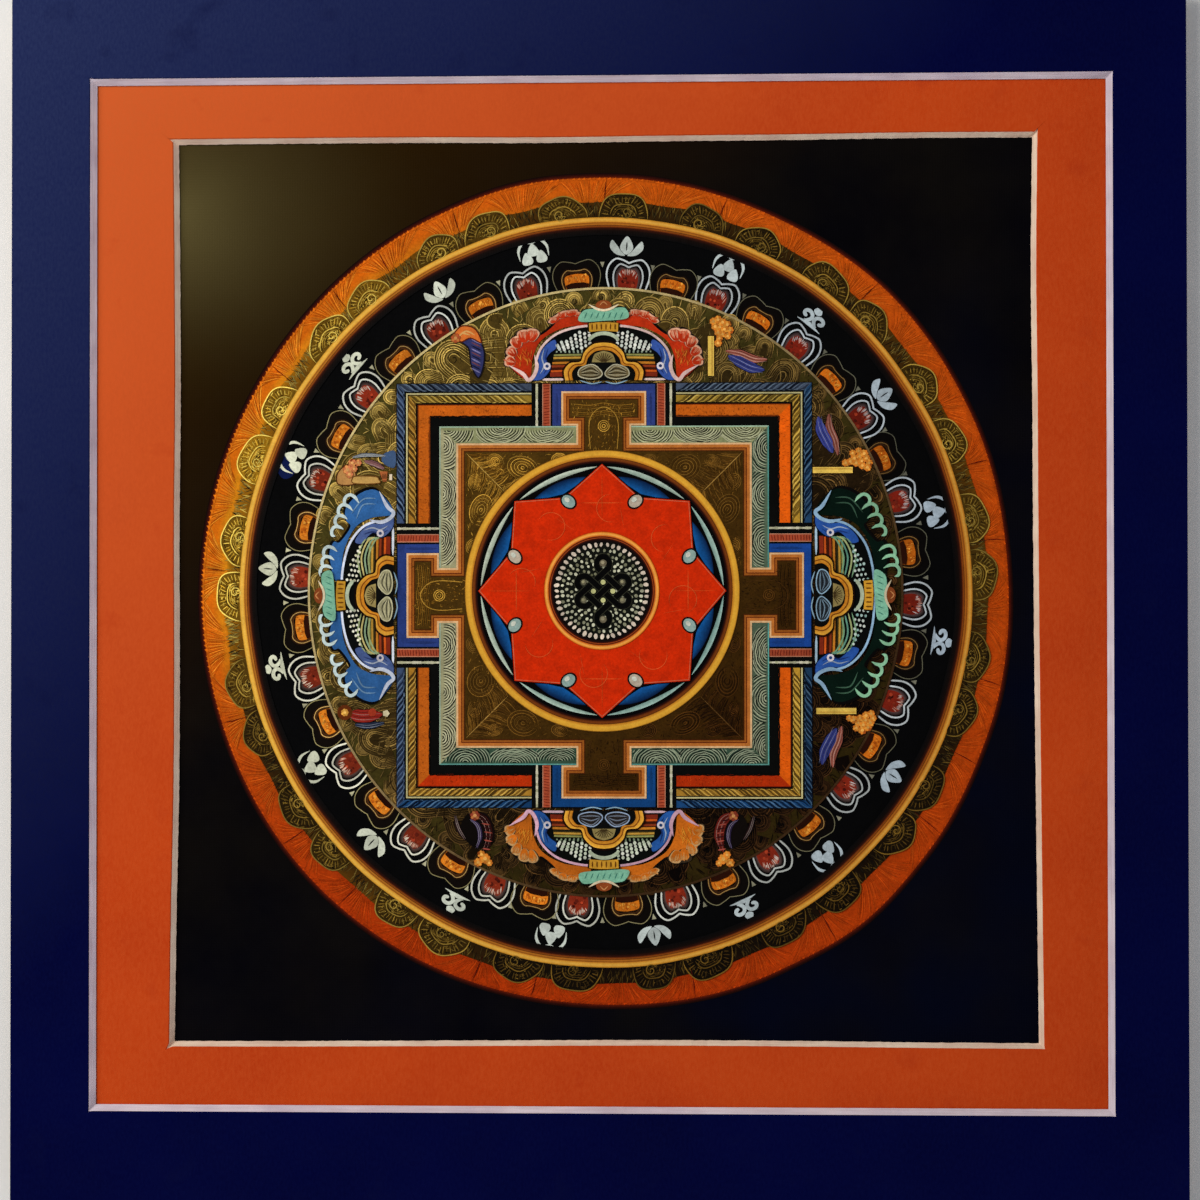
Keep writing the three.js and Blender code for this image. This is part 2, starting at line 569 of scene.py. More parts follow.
def make_board(node, name, materials, nibs, scuff):
    """A window board: paper face, pale slanted window edge and plain back. Nibs are knife overcuts at
    the window's corners, and scuff is how rough the cut edge is, both in millimetres."""
    low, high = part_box(node)
    hand = random.Random(name)
    outer = evenly_stepped([(low.x, low.y), (high.x, low.y), (high.x, high.y), (low.x, high.y)], BOARD_STEPS)
    back = evenly_stepped(window_of(node, low.z), BOARD_STEPS)
    face = evenly_stepped(window_of(node, high.z), BOARD_STEPS)

    def roughened(path, amount):
        return [tuple(c + hand.uniform(-amount, amount) * MM for c in point) for point in path]

    back, face = roughened(back, scuff), roughened(face, scuff / 2)
    beside = [tuple(f + 0.1 * (o - f) for f, o in zip(*pair)) for pair in zip(face, outer)]
    for corner, (dx, dy) in enumerate(nibs):
        i = corner * BOARD_STEPS
        face[i] = (face[i][0] + dx * MM, face[i][1] + dy * MM)
    share = PAPER / (high.z - low.z)
    under_paper = [tuple(f + (b - f) * share for f, b in zip(*pair)) for pair in zip(face, back)]
    rows = [(outer, low.z), (outer, high.z - PAPER), (outer, high.z), (beside, high.z), (face, high.z),
            (under_paper, high.z - PAPER), (back, low.z)]
    row_materials = [1, 0, 0, 0, 0, 1, 2]
    count = 4 * BOARD_STEPS
    points = [(x, y, z) for path, z in rows for x, y in path]
    faces = []
    face_materials = []
    for row, material in enumerate(row_materials):
        after = (row + 1) % len(rows)
        for k in range(count):
            n = (k + 1) % count
            faces.append((row * count + k, row * count + n, after * count + n, after * count + k))
            face_materials.append(material)
    piece = new_piece(name, points, faces, materials, face_materials)
    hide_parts(node)
    return piece


# The rings

RIM = (  # degrees clockwise from the top, and the fire ring's outer radius there
    (0, 87.9), (25, 87.5), (45, 88.2), (65, 87.7), (85, 87.2), (110, 88.0), (128, 88.8), (141, 89.4),
    (155, 88.4), (185, 87.2), (228, 88.3), (260, 87.8), (300, 87.3), (335, 87.9), (348, 88.3), (360, 87.9),
)

# Where the rings catch the light: the degrees of a lobe's middle, how far it reaches before and
# after that, and its strength
FIRE_LIGHT = [(276, 28, 75, 0.92)]
CURL_LIGHT = [(270, 14, 75, 1), (75, 40, 32, 0.4), (216, 16, 26, 0.4)]
DIMMEST = 0.05


def round_the_ring(rows, degrees):
    """A value between those of rows of degrees and value."""
    degrees %= 360
    for (a, low), (b, high) in zip(rows, rows[1:]):
        if degrees <= b:
            t = (degrees - a) / (b - a)
            return low + (high - low) * (3 - 2 * t) * t * t
    return rows[-1][1]


def rim_radius(degrees):
    return round_the_ring(RIM, degrees)


def painted_left_light(degrees):
    """From 1 on the left of the painting to 0 on the right: painted light from the left, which makes the
    gold, whites and petals there brighter and yellower.
    """
    return 0.5 + 0.5 * math.cos(math.radians(degrees - 272))


def caught_light(lobes, degrees):
    total = DIMMEST
    for middle, before, after, strength in lobes:
        off = (degrees - middle + 180) % 360 - 180
        total += strength * math.exp(-(off / (after if off > 0 else before)) ** 2)
    return min(1, total)


def fire_glow(degrees):
    """How yellow and how rayed the fire is."""
    return caught_light(FIRE_LIGHT, degrees)


def fire_colour(degrees):
    low = 0.5 - 0.5 * math.cos(math.radians(degrees - 20))
    return mixed(mixed((204, 82, 12), (178, 52, 6), low), (228, 116, 14), fire_glow(degrees))


def ember_colour(degrees):
    """The fire over the curls, yellower on the left."""
    return mixed(mixed(fire_colour(degrees), DARK_RED, 0.12), (228, 146, 24), 0.9 * fire_glow(degrees) ** 1.5)


SHEAVES = 34
SHEAF_PITCH = 360 / SHEAVES
FIRST_CURL = 3.5
RAYS = 24  # pairs of a dark and a bright ray in each sheaf
RAY_FOOT = 82.6
TEETH = 480
TOOTH = 0.34  # half a tooth's width at its foot, in degrees


def fire_ray(paint, hollow, ray, warm):
    """One ray from a hollow to the rim, dark and bright by turns."""
    hand = paint.hand
    lean = 1.1 * (ray / (2 * RAYS) - 0.5) + hand.gauss(0, 0.008)
    foot = hollow + 0.5 * lean * SHEAF_PITCH
    tip = hollow + (lean + 0.06) * SHEAF_PITCH
    low = RAY_FOOT + 6 * lean * lean * warm ** 0.5 + hand.uniform(0, 0.9)
    high = rim_radius(tip) - 0.1 - hand.uniform(0, 1.8) * (1 - warm)
    path = [on_ring(low + (high - low) * t, foot + (tip - foot) * t ** 1.2) for t in (0, 0.25, 0.5, 0.75, 1)]
    dull, bright = mixed((118, 34, 8), (150, 58, 6), warm), mixed((232, 124, 44), (255, 184, 62), warm)
    share = (0.12 + 0.58 * warm ** 0.7) * hand.uniform(0.5, 1)
    colour = mixed(fire_colour(hollow), bright if ray % 2 else dull, share)
    paint.stroke(path, hand.uniform(0.15, 0.2), colour, 2, ends=0.3)


def dark_cut(paint, degrees):
    """A thin dark line across the fire."""
    tip = on_ring(rim_radius(degrees) - 0.1, degrees + 0.35)
    path = [on_ring(81.5, degrees), on_ring(85.4, degrees + 0.15), tip]
    paint.stroke(path, 0.22, (96, 18, 8), 3.8, ends=0.15)


def rim_tooth(paint, degrees):
    reach = 0.06 + 0.4 * fire_glow(degrees) ** 2
    foot = rim_radius(degrees) - 0.4
    tip = on_ring(foot + 0.4 + reach * paint.hand.uniform(0.6, 1), degrees + 0.2)
    wedge = [on_ring(foot, degrees - TOOTH), tip, on_ring(foot, degrees + TOOTH)]
    paint.fill(wedge, mixed(fire_colour(degrees), (250, 150, 50), 0.2 * fire_glow(degrees)), 2)


def paint_fire_ring(material):
    """The rim of fire: fine rays fan out from each hollow between two curls to a toothed edge."""
    paint = Paint("paint_fire_ring", 0.12)

    def rim(offset):
        return lambda degrees: rim_radius(degrees) + offset

    halo = [(1, (8, 5, 5)), (0.5, (50, 13, 7)), (0.1, (92, 24, 8)), (-0.4, (92, 24, 8))]
    paint.rings([(rim(offset), colour) for offset, colour in halo], 0)
    fire = [(0, lambda d: mixed(fire_colour(d), DARK_RED, 0.25)), (-0.7, fire_colour), (-2.2, fire_colour)]
    embers = [(FIRE_FOOT + 0.9, ember_colour), (FIRE_FOOT - 2.5, ember_colour)]
    paint.rings([(rim(offset), colour) for offset, colour in fire] + embers, 1)
    hand = paint.hand
    for sheaf in range(SHEAVES):
        hollow = (sheaf + 0.5) * SHEAF_PITCH + FIRST_CURL
        warm = fire_glow(hollow)
        for ray in range(2 * RAYS):
            fire_ray(paint, hollow, ray, warm)
        if hand.random() > 0.4 + 0.4 * warm:
            dark_cut(paint, hollow + hand.uniform(-2, 2))
    for tooth in range(TEETH):
        rim_tooth(paint, 360 * tooth / TEETH + hand.uniform(-0.1, 0.1))
    return paint.make(material)


FLECKS, TICKS = 110, 34  # in each curl
SCROLL_HAIRS = 3000
CURL_SHIFT = 0.85  # degrees by which the curls of a pair lean away from each other


def scroll_glow(degrees):
    """How golden the curls are."""
    return caught_light(CURL_LIGHT, degrees)


def curl_line(glow):
    return mixed((104, 76, 26), (255, 224, 104), glow)


def curl_flecks(paint, placed, at, line, deep):
    """Short loose strokes that fill a curl."""
    hand = paint.hand
    for _ in range(FLECKS):
        share, angle = hand.uniform(0.1, 0.92), hand.uniform(0.1, 3)
        end = at(share + hand.uniform(-0.05, 0.05), angle + hand.uniform(0.05, 0.22) / share)
        tone = mixed(line, deep, hand.uniform(0, 0.8)) if hand.random() < 0.55 else mixed(deep, BLACK, 0.8)
        paint.stroke(placed([at(share, angle), end]), 0.17, tone, 4.5, ends=0.3)


def curl_ticks(paint, placed, at, line, deep):
    """The fan of ticks in a curl's outer band, bright and dark by turns."""
    hand = paint.hand
    for tick in range(TICKS):
        angle = math.pi * (tick + hand.uniform(0.2, 0.8)) / TICKS
        start = at(hand.uniform(0.58, 0.66), angle)
        end = at(hand.uniform(0.84, 0.93), angle + hand.uniform(-0.03, 0.03))
        if tick % 2:
            tone = mixed(line, deep, hand.uniform(0.2, 0.7))
        else:
            tone = mixed(deep, BLACK, hand.uniform(0.2, 0.5))
        paint.stroke(placed([start, end]), 0.2, tone, 5, ends=0.3)


def paint_curl(paint, degrees, glow):
    """A curled leaf on the gold ring: an arch of fine ticks round a coil."""
    hand = paint.hand
    line, deep = curl_line(glow), mixed((18, 10, 5), (198, 142, 26), glow)
    flip = hand.choice((-1, 1))
    wide, tall = hand.uniform(4.7, 5.7), hand.uniform(4.9, 5.6)
    lean, wave = hand.uniform(0.2, 0.9), hand.uniform(0, 6)

    def placed(points):
        return bent(mirrored(points, flip), GOLD_RING, degrees)

    def at(share, angle):
        spread = share * (1 + 0.03 * math.sin(5 * angle + wave))
        rise = tall * spread * abs(math.sin(angle)) ** 0.8
        return (0.35 - wide * spread * math.cos(angle) + lean * rise / tall - lean / 2, 0.1 + rise)

    def arch(share, start=0.0, end=math.pi):
        return [at(share, start + (end - start) * k / 24) for k in range(25)]

    paint.fill(placed(arch(1)), mixed(deep, BLACK, 0.3), 4)
    curl_flecks(paint, placed, at, line, deep)
    curl_ticks(paint, placed, at, line, deep)
    paint.stroke(placed(arch(0.98)), 0.24, line, 6, ends=0.08)
    paint.stroke(placed(arch(0.55, 0.15, 2.9)), 0.22, mixed(line, deep, 0.15), 6, ends=0.15)
    for share in (0.45, 0.37):
        paint.stroke(placed(arch(share, 0.2, 2.8)), 0.13, mixed(line, deep, 0.5), 6, ends=0.2)
    coil = spiral((0.9, tall * 0.24), 1.35, 0.2, 200, 1.4, 24)
    paint.stroke(placed(coil), 0.2, line, 6, ends=0.15)
    for _ in range(12):
        mark = (hand.uniform(-1.6, 2.6), hand.uniform(0.4, tall * 0.42))
        paint.dot(placed([mark])[0], hand.uniform(0.09, 0.16), mixed(line, deep, 0.2), 6, sides=6)


def paint_scroll_band(material):
    """Curled leaves standing on the gold ring, with hairs between."""
    paint = Paint("paint_scroll_band", 0.2)
    hand = paint.hand

    def between(share):
        return lambda d: mixed(mixed((20, 10, 5), (190, 124, 18), scroll_glow(d)), BLACK, share)

    def border(degrees):
        swing = 0.12 + 0.4 * fire_glow(degrees)
        return FIRE_FOOT + swing * math.cos(math.radians(SHEAVES * (degrees - FIRST_CURL)))

    paint.rings([(border, between(0)), (FIRE_FOOT - 1.4, between(0.15)), (GOLD_RING - 0.4, between(0.35))], 3)
    for _ in range(SCROLL_HAIRS):
        degrees, lean = hand.uniform(0, 360), hand.uniform(-0.7, 0.7)
        foot = GOLD_RING + hand.uniform(0.1, 2.4)
        tip = min(foot + hand.uniform(0.8, 2.6), FIRE_FOOT + 0.2)
        tone = mixed(curl_line(scroll_glow(degrees)), BLACK, hand.uniform(0.15, 1))
        paint.stroke([on_ring(foot, degrees), on_ring(tip, degrees + lean)], 0.16, tone, 3.5, ends=0.4)
    for leaf in range(SHEAVES):
        shift = CURL_SHIFT if leaf % 2 else -CURL_SHIFT
        degrees = leaf * SHEAF_PITCH + FIRST_CURL + shift + hand.uniform(-0.6, 0.6)
        paint_curl(paint, degrees, scroll_glow(degrees))
    return paint.make(material)


def gold_colour(degrees):
    # painted light: the gold is brighter and yellower towards the left
    return mixed((206, 134, 40), (244, 182, 62), painted_left_light(degrees))


def paint_gold_rings(material):
    """The bright ring round the black ground, with its dark line and fading red-brown inner edge."""
    paint = Paint("paint_gold_rings", 0.05)
    hand = random.Random("gold ring")
    waves = [(hand.uniform(0.02, 0.06), n, hand.uniform(0, 360)) for n in (5, 9, 14, 23)]

    def wavy(radius):
        return lambda d: radius + sum(a * math.sin(math.radians(n * d + p)) for a, n, p in waves)

    def shade_of(share, other):
        return lambda d: mixed(gold_colour(d), other, share)

    stops = [
        (0.2, shade_of(0.4, (90, 60, 20))), (0, gold_colour), (-0.3, shade_of(0.35, (255, 214, 120))),
        (-0.65, shade_of(0.1, (255, 214, 120))), (-0.85, shade_of(0.45, (176, 84, 18))),
        (-1, shade_of(0.75, (96, 42, 12))), (-1.15, shade_of(0.55, (150, 70, 16))),
        (-1.4, shade_of(0.6, (150, 70, 16))), (-1.5, (66, 26, 8)), (-1.65, shade_of(0.8, (130, 58, 12))),
        (-1.85, shade_of(0.9, (110, 42, 9))), (-2.05, (54, 18, 7)), (-2.6, (18, 8, 5)),
    ]
    rows = [(wavy(GOLD_RING + offset), colour) for offset, colour in stops]
    paint.rings(rows + [(wavy(BLACK_RING + 0.3), BLACK)], 5, steps=720)
    return paint.make(material)


SMEAR = (-67.6, 29.6)  # a blue brush mark on the black


def paint_black_ring(material):
    paint = Paint("paint_black_ring", 0.1)
    paint.rings([(GOLD_RING - 1, BLACK), (PETAL_FOOT - 1, BLACK)], 1)
    smear = blob([(-1.6, -2.6), (-2.2, 0.4), (-0.8, 2.8), (1.4, 1.8), (2.0, -0.8), (0.6, -2.8)], 6)
    paint.fill(moved(smear, SMEAR, 20), (15, 27, 74), 1.8)
    return paint.make(material)


# The white ornaments on the black ring: generic buds, jewels and clouds

ORNAMENT_PLACES = (
    3.8, 21.4, 38.1, 55.5, 76.9, 98.3, 122, 139.3, 155.4, 171.6,
    189.1, 206.5, 223.7, 239.8, 257.4, 273.9, 292.9, 311.5, 330.8, 347.9,
)
ORNAMENT_FOOT = 71.1
ORNAMENT_STRETCH = (1.35, 1.12)  # along and across the ring


def bud(paint, placed, colour):
    petal = blob([(0, 0.5), (-1.0, 1.6), (-0.7, 3.0), (0, 4.0), (0.7, 3.0), (1.0, 1.6)])
    leaf = blob([(-0.2, 0.3), (-1.6, 0.5), (-2.6, 1.8), (-2.3, 3.2), (-1.5, 2.2), (-0.9, 1.2)])
    paint.fill(placed(petal), colour, 3)
    for sign in (1, -1):
        paint.fill(placed(mirrored(leaf, sign)), colour, 3)
    paint.stroke(placed([(0, 1.2), (0, 3.0)]), 0.26, BLACK, 4, ends=0.4)
    paint.dot(placed([(0, 4.8)])[0], 0.5, colour, 3)


def jewel(paint, placed, colour):
    drop = blob([(0, 3.9), (-0.85, 2.5), (-0.6, 1.6), (0.6, 1.6), (0.85, 2.5)])
    for dx, dy in ((0, 0.1), (-1.15, -1.35), (1.15, -1.35)):
        paint.fill(placed(shifted(drop, dx, dy)), colour, 3)
    halo = smooth([(-2.3, 1.2), (-2.2, 3.2), (-1.2, 4.6), (0, 4.2), (1.2, 4.6), (2.2, 3.2), (2.3, 1.2)], 5)
    paint.stroke(placed(halo), 0.62, colour, 3, ends=0.2)


def cloud(paint, placed, colour):
    for side in (-1, 1):
        curl = spiral((side * 1.2, 2.1), 1.15, 0.2, 270, -side * 1.1)
        paint.stroke(placed(curl), 0.8, colour, 3, ends=0.1)
    paint.stroke(placed([(-2.2, 0.5), (0, 0.75), (2.2, 0.5)]), 0.9, colour, 3, ends=0.2)
    paint.fill(placed(blob([(0, 4.6), (-0.7, 3.5), (0, 2.9), (0.7, 3.5)])), colour, 3)


def paint_white_ornaments(material):
    paint = Paint("paint_white_ornaments", 0.08)
    motifs = (bud, jewel, cloud)
    for number, degrees in enumerate(ORNAMENT_PLACES):

        def placed(points):
            return bent(stretched(points, *ORNAMENT_STRETCH), ORNAMENT_FOOT, degrees)

        # painted light: the white ornaments are cream on the left and bluish grey on the right
        colour = mixed((176, 192, 206), (222, 224, 196), painted_left_light(degrees))
        motifs[number % 3](paint, placed, colour)
    return paint.make(material)


# The lotus petals

def petal_outline(wide, tall, notch, steps=6):
    """A petal with two round lobes at its outer end."""
    left = [(-wide * 0.86, -0.4), (-wide, tall * 0.4), (-wide * 0.9, tall * 0.76),
            (-wide * 0.6, tall * 0.99), (-wide * 0.28, tall * 0.96), (0, notch)]
    return both_halves(smooth(left, steps))


def red_petal(paint, degrees, glow):
    hand = paint.hand

    def placed(points):
        return bent(points, PETAL_FOOT, degrees)

    white = mixed((170, 182, 196), (232, 230, 208), glow)
    grey = mixed(white, BLACK, 0.45)
    paint.fill(placed(petal_outline(4.6, 6.3, 5.6)), BLACK, 2)
    paint.stroke(placed(petal_outline(4.5, 6.15, 5.3)), 0.38, white, 3, ends=0.04)
    paint.stroke(placed(petal_outline(3.1, 5.0, 4.4)), 0.36, white, 3, ends=0.04)
    core = placed(petal_outline(2.15, 3.9, 3.5))
    paint.shaded(placed(petal_outline(2.8, 4.6, 4.1)), core, BLACK, mixed(grey, (70, 30, 26), 0.55), 3.5)
    paint.fill(core, mixed((112, 26, 16), (140, 48, 26), glow), 4)
    for lash in range(16):
        u = -1.95 + 3.9 * (lash + hand.uniform(0, 1)) / 16
        top = 4.1 - 0.25 * u * u + hand.uniform(-0.2, 0.1)
        path = [(u, top), (0.8 * u, top - hand.uniform(0.5, 1.5))]
        paint.stroke(placed(path), 0.22, mixed((196, 110, 84), white, hand.uniform(0.2, 0.9)), 5, ends=0.4)
    for _ in range(9):
        mark = (hand.uniform(-1.4, 1.4), hand.uniform(0.2, 2.6))
        tone = mixed((50, 10, 8), (190, 70, 40), hand.random())
        paint.dot(placed([mark])[0], hand.uniform(0.2, 0.45), tone, 5, sides=7)


def orange_petal(paint, degrees, glow):
    hand = paint.hand

    def placed(points):
        return bent(points, PETAL_FOOT, degrees)

    line = mixed((70, 72, 66), (178, 166, 112), glow)
    paint.fill(placed(petal_outline(5.1, 6.1, 5.5)), mixed((7, 5, 5), (16, 10, 7), glow), 2)
    paint.stroke(placed(petal_outline(5.0, 6.0, 5.3)), 0.17, line, 3, ends=0.04)
    brown = mixed((40, 22, 10), (84, 48, 20), glow)
    paint.shaded(placed(petal_outline(3.7, 4.5, 4.2)), placed(petal_outline(2.7, 3.4, 3.3)), BLACK, brown, 3)
    paint.stroke(placed(petal_outline(3.2, 4.0, 3.8)), 0.17, mixed((110, 80, 40), (214, 172, 100), glow), 4)
    block = both_halves(smooth([(-2.3, -0.4), (-2.6, 1.6), (-2.2, 2.8), (0, 3.15)], 5))
    colour = mixed((200, 98, 18), (226, 130, 34), glow)
    paint.fill(placed(block), colour, 4)
    for _ in range(12):
        spot = (hand.uniform(-1.9, 1.9), hand.uniform(1.5, 2.8))
        tone = mixed(colour, hand.choice(((255, 200, 90), (150, 60, 10))), 0.55)
        paint.dot(placed([spot])[0], hand.uniform(0.16, 0.34), tone, 5, sides=7)
    for _ in range(22):
        u, v = hand.uniform(-2.2, 2.2), hand.uniform(1.1, 2.3)
        tone = mixed(colour, hand.choice(((255, 190, 80), (130, 56, 12))), 0.5)
        paint.stroke(placed([(u, v), (u + hand.uniform(-0.2, 0.2), v + 0.7)]), 0.13, tone, 5, ends=0.4)
    shade = [(-2.2, -0.4), (2.2, -0.4), (2.5, 0.9), (1.2, 1.25), (-1.2, 1.25), (-2.5, 0.9)]
    paint.fill(placed(shade), (42, 15, 6), 6)


def paint_lotus_petals(material):
    paint = Paint("paint_lotus_petals", 0.12)
    for degrees, after in zip(RED_PETALS, RED_PETALS[1:] + (360 + RED_PETALS[0],)):
        # painted light: the petals' whites and colours are brighter towards the left
        glow = 0.2 + 0.8 * painted_left_light(degrees + 30)
        red_petal(paint, degrees, glow)
        orange_petal(paint, (degrees + after) / 2, glow)
        for share in (0.25, 0.75):
            wedge = [(-0.45, 5.4), (0.45, 5.4), (0.05, 4.2)]
            seam = degrees + share * (after - degrees)
            paint.fill(bent(wedge, PETAL_FOOT, seam), mixed((90, 90, 80), (190, 186, 150), glow), 3)
    return paint.make(material)


# The ground inside the petals

WHORL_ROWS = 8
GROUND_HAIRS = 4200


def whorl(paint, centre, size, turn, line, deep, coat):
    """A leaf of the ground: arches inside each other like wood grain, over the leaves behind it."""
    hand = paint.hand
    long = size * hand.uniform(0.4, 1.1)
    wide = size * hand.uniform(0.8, 1)

    def arch(share):
        top = arc((0, 0), wide * share, 0, 180, 10, size / wide)
        return [(wide * share * 1.04, -long)] + top + [(-wide * share * 1.04, -long)]

    paint.fill(moved(arch(1), centre, turn), deep, coat)
    rows = 7
    for n in range(rows):
        share = 1 - n / rows * 0.86 - hand.uniform(0, 0.03)
        tone = mixed(line, deep, hand.uniform(0, 0.45) + 0.3 * (n % 2))
        paint.stroke(moved(arch(share), centre, turn), hand.uniform(0.16, 0.28), tone, coat, ends=0.25)
    if hand.random() < 0.4:
        coil = spiral((0, 0), 0.42 * size, 0.1, hand.uniform(0, 360), 1.6, 18)
        paint.stroke(moved(coil, centre, turn), 0.24, mixed(deep, BLACK, 0.5), coat, ends=0.2)


def paint_ground(material):
    """The olive ground under the petals, covered with curled leaves like scales."""
    paint = Paint("paint_ground", 0.22)
    hand = paint.hand
    paint.rings([(PETAL_FOOT, OLIVE), (0.1, OLIVE)], 2)

    # painted light: the ground's edge line is lighter towards the upper left
    def edge_line(degrees):
        return mixed((92, 72, 46), (214, 192, 132), painted_light_share(on_ring(PETAL_FOOT, degrees)))

    paint.rings([(PETAL_FOOT + 0.02, edge_line), (PETAL_FOOT - 0.46, edge_line)], 7)

    # painted light: the leaves' lines and their ground are lighter towards the upper left
    def tones(point):
        share = painted_light_share(point)
        return mixed((104, 76, 42), (234, 198, 104), share), mixed((20, 13, 9), (82, 64, 24), share)

    for row in range(WHORL_ROWS):
        radius = PETAL_FOOT - 2.2 - 3.3 * row
        count = round(math.tau * radius / 6.4)
        for place in range(count):
            degrees = 360 * (place + 0.5 * (row % 2)) / count + hand.uniform(-2, 2)
            centre = on_ring(radius + hand.uniform(-0.7, 0.7), degrees)
            size = hand.uniform(2.6, 4.4) if row else 2
            whorl(paint, centre, size, -degrees + hand.gauss(0, 36), *tones(centre), 3)
    for _ in range(GROUND_HAIRS):
        degrees, radius = hand.uniform(0, 360), math.sqrt(hand.uniform(38 ** 2, 63.6 ** 2))
        tip = min(radius + hand.uniform(0.8, 2.2), PETAL_FOOT - 0.2)
        path = [on_ring(radius, degrees), on_ring(tip, degrees + hand.uniform(-1.4, 1.4))]
        line, deep = tones(path[0])
        paint.stroke(path, 0.18, mixed(line, BLACK, 0.3) if hand.random() < 0.45 else deep, 4, ends=0.4)
    return paint.make(material)


# The palace: nested walls round a court, with a T-shaped gate in the middle of each side

PALACE = {"left": -43.4, "right": 46.9, "bottom": -45.1, "top": 47.2}
PALACE_MIDDLE = ((PALACE["left"] + PALACE["right"]) / 2, (PALACE["bottom"] + PALACE["top"]) / 2)
SIDES = ("top", "right", "bottom", "left")
GATE_GAP = 15.7  # from a gate's middle to where the outer walls stop


def half_side(side):
    if side in ("top", "bottom"):
        return (PALACE["right"] - PALACE["left"]) / 2
    return (PALACE["top"] - PALACE["bottom"]) / 2


def on_side(side, points):
    """Points given along one side of the palace and outwards from its edge, seen with outwards up."""
    x, y = PALACE_MIDDLE
    place = {
        "top": lambda u, v: (x + u, PALACE["top"] + v),
        "right": lambda u, v: (PALACE["right"] + v, y - u),
        "bottom": lambda u, v: (x - u, PALACE["bottom"] - v),
        "left": lambda u, v: (PALACE["left"] - v, y + u),
    }[side]
    return [place(u, v) for u, v in points]


def by_side(*values):
    """One value for each side, in the order of SIDES."""
    return dict(zip(SIDES, values))


# How far the outer and the inner edge of each wall lie inside the palace's edge
BLUE_WALL, CREAM_LINE, GOLD_WALL, ORANGE_WALL = (0.15, 1.75), (2.15, 2.48), (2.7, 4.25), (4.75, 7.3)
TEAL_OUTER, TEAL_INNER = 9.45, 13.1
BLUES = by_side((72, 84, 104), (34, 66, 100), (26, 68, 116), (66, 84, 118))
CREAMS = dict.fromkeys(SIDES, (206, 196, 140))
GOLDS = by_side((166, 134, 50), (196, 150, 52), (186, 136, 48), (172, 122, 42))
ORANGES = by_side((204, 98, 22), (238, 98, 14), (196, 52, 10), (208, 102, 24))
WALLS = ((BLUE_WALL, BLUES), (CREAM_LINE, CREAMS), (GOLD_WALL, GOLDS), (ORANGE_WALL, ORANGES))
TEALS = by_side((148, 152, 108), (88, 106, 84), (60, 86, 68), (170, 166, 126))
TEAL_EDGES = by_side((176, 206, 176), (96, 170, 160), (96, 156, 146), (176, 196, 170))

# The T-shaped gates, from the middle of a side: half the stem's and the bar's width, and how deep
# the bar's foot and front lie
STEM, BAR, BAR_FOOT, BAR_FRONT = 5.95, 9.2, 9.3, 1.85
FRONT_SHIFT = by_side(0, 0, 0.3, 0.4)  # the gates' fronts aren't all set alike
COURT_LINES = (  # how far in from the court's edge each line starts, and its colour
    (0, (238, 192, 140)), (0.4, (200, 118, 50)), (1.05, (96, 28, 10)), (1.25, (158, 88, 30)),
    (1.65, (70, 30, 10)), (1.85, None),
)
COURT_INSET = TEAL_INNER + COURT_LINES[-1][0]


def court_outline(inset):
    """The court with its four gates as one closed outline, clockwise from the upper left corner."""
    wall, front = TEAL_INNER + inset, BAR_FRONT + inset
    stem, shoulder, bar = STEM - inset, BAR_FOOT - inset, BAR - inset
    path = []
    for side in SIDES:
        front_here = front + FRONT_SHIFT[side]
        path += on_side(side, [
            (-half_side(side) + wall, -wall), (-stem, -wall), (-stem, -shoulder), (-bar, -shoulder),
            (-bar, -front_here), (bar, -front_here), (bar, -shoulder), (stem, -shoulder), (stem, -wall)])
    return path


def wall_strips(side, outer, inner, stop):
    """One wall as two mitred strips, left and right of the gate."""
    half = half_side(side)
    strip = [(-half + outer, -outer), (-stop, -outer), (-stop, -inner), (-half + inner, -inner)]
    return [on_side(side, mirrored(strip, sign)) for sign in (1, -1)]


def rope_strokes(paint, side, wall, pitch, lean, tones):
    """The slanting strands of a rope border, in its own, a dark and a light tone."""
    hand = paint.hand
    outer, inner = wall
    colour, dark, light = tones
    half = half_side(side) - inner
    for sign in (-1, 1):
        u = GATE_GAP + 0.2
        while u < half:
            bend = hand.uniform(-0.1, 0.15)
            path = [(u, -inner + 0.08), (u + lean * 0.3, -inner + 0.2 + bend),
                    (u + lean * 0.7, -outer - 0.3 + bend), (u + lean, -outer - 0.08)]
            strands = ((0, hand.uniform(0.24, 0.55), dark), (0.5, hand.uniform(0.12, 0.34), light))
            for shift, width, tone in strands:
                strand = shifted(smooth(path, 3), pitch * shift, 0)
                for run in runs(strand, lambda p: p[0] < half_side(side) + p[1] - 0.1):
                    eased_tone = mixed(tone, colour, hand.uniform(0, 0.7) ** 1.5)
                    paint.stroke(on_side(side, mirrored(run, sign)), width, eased_tone, 7, ends=0.3)
            u += pitch * hand.uniform(0.7, 1.3)


def rope_walls(paint, side):
    blue, gold = BLUES[side], GOLDS[side]
    blue_tones = (blue, mixed(blue, (2, 6, 18), 0.85), mixed(blue, (150, 176, 190), 0.45))
    gold_tones = (gold, mixed(gold, (26, 16, 4), 0.7), mixed(gold, (250, 220, 120), 0.5))
    rope_strokes(paint, side, BLUE_WALL, 1.4, 3.4, blue_tones)
    rope_strokes(paint, side, GOLD_WALL, 1.3, 3, gold_tones)


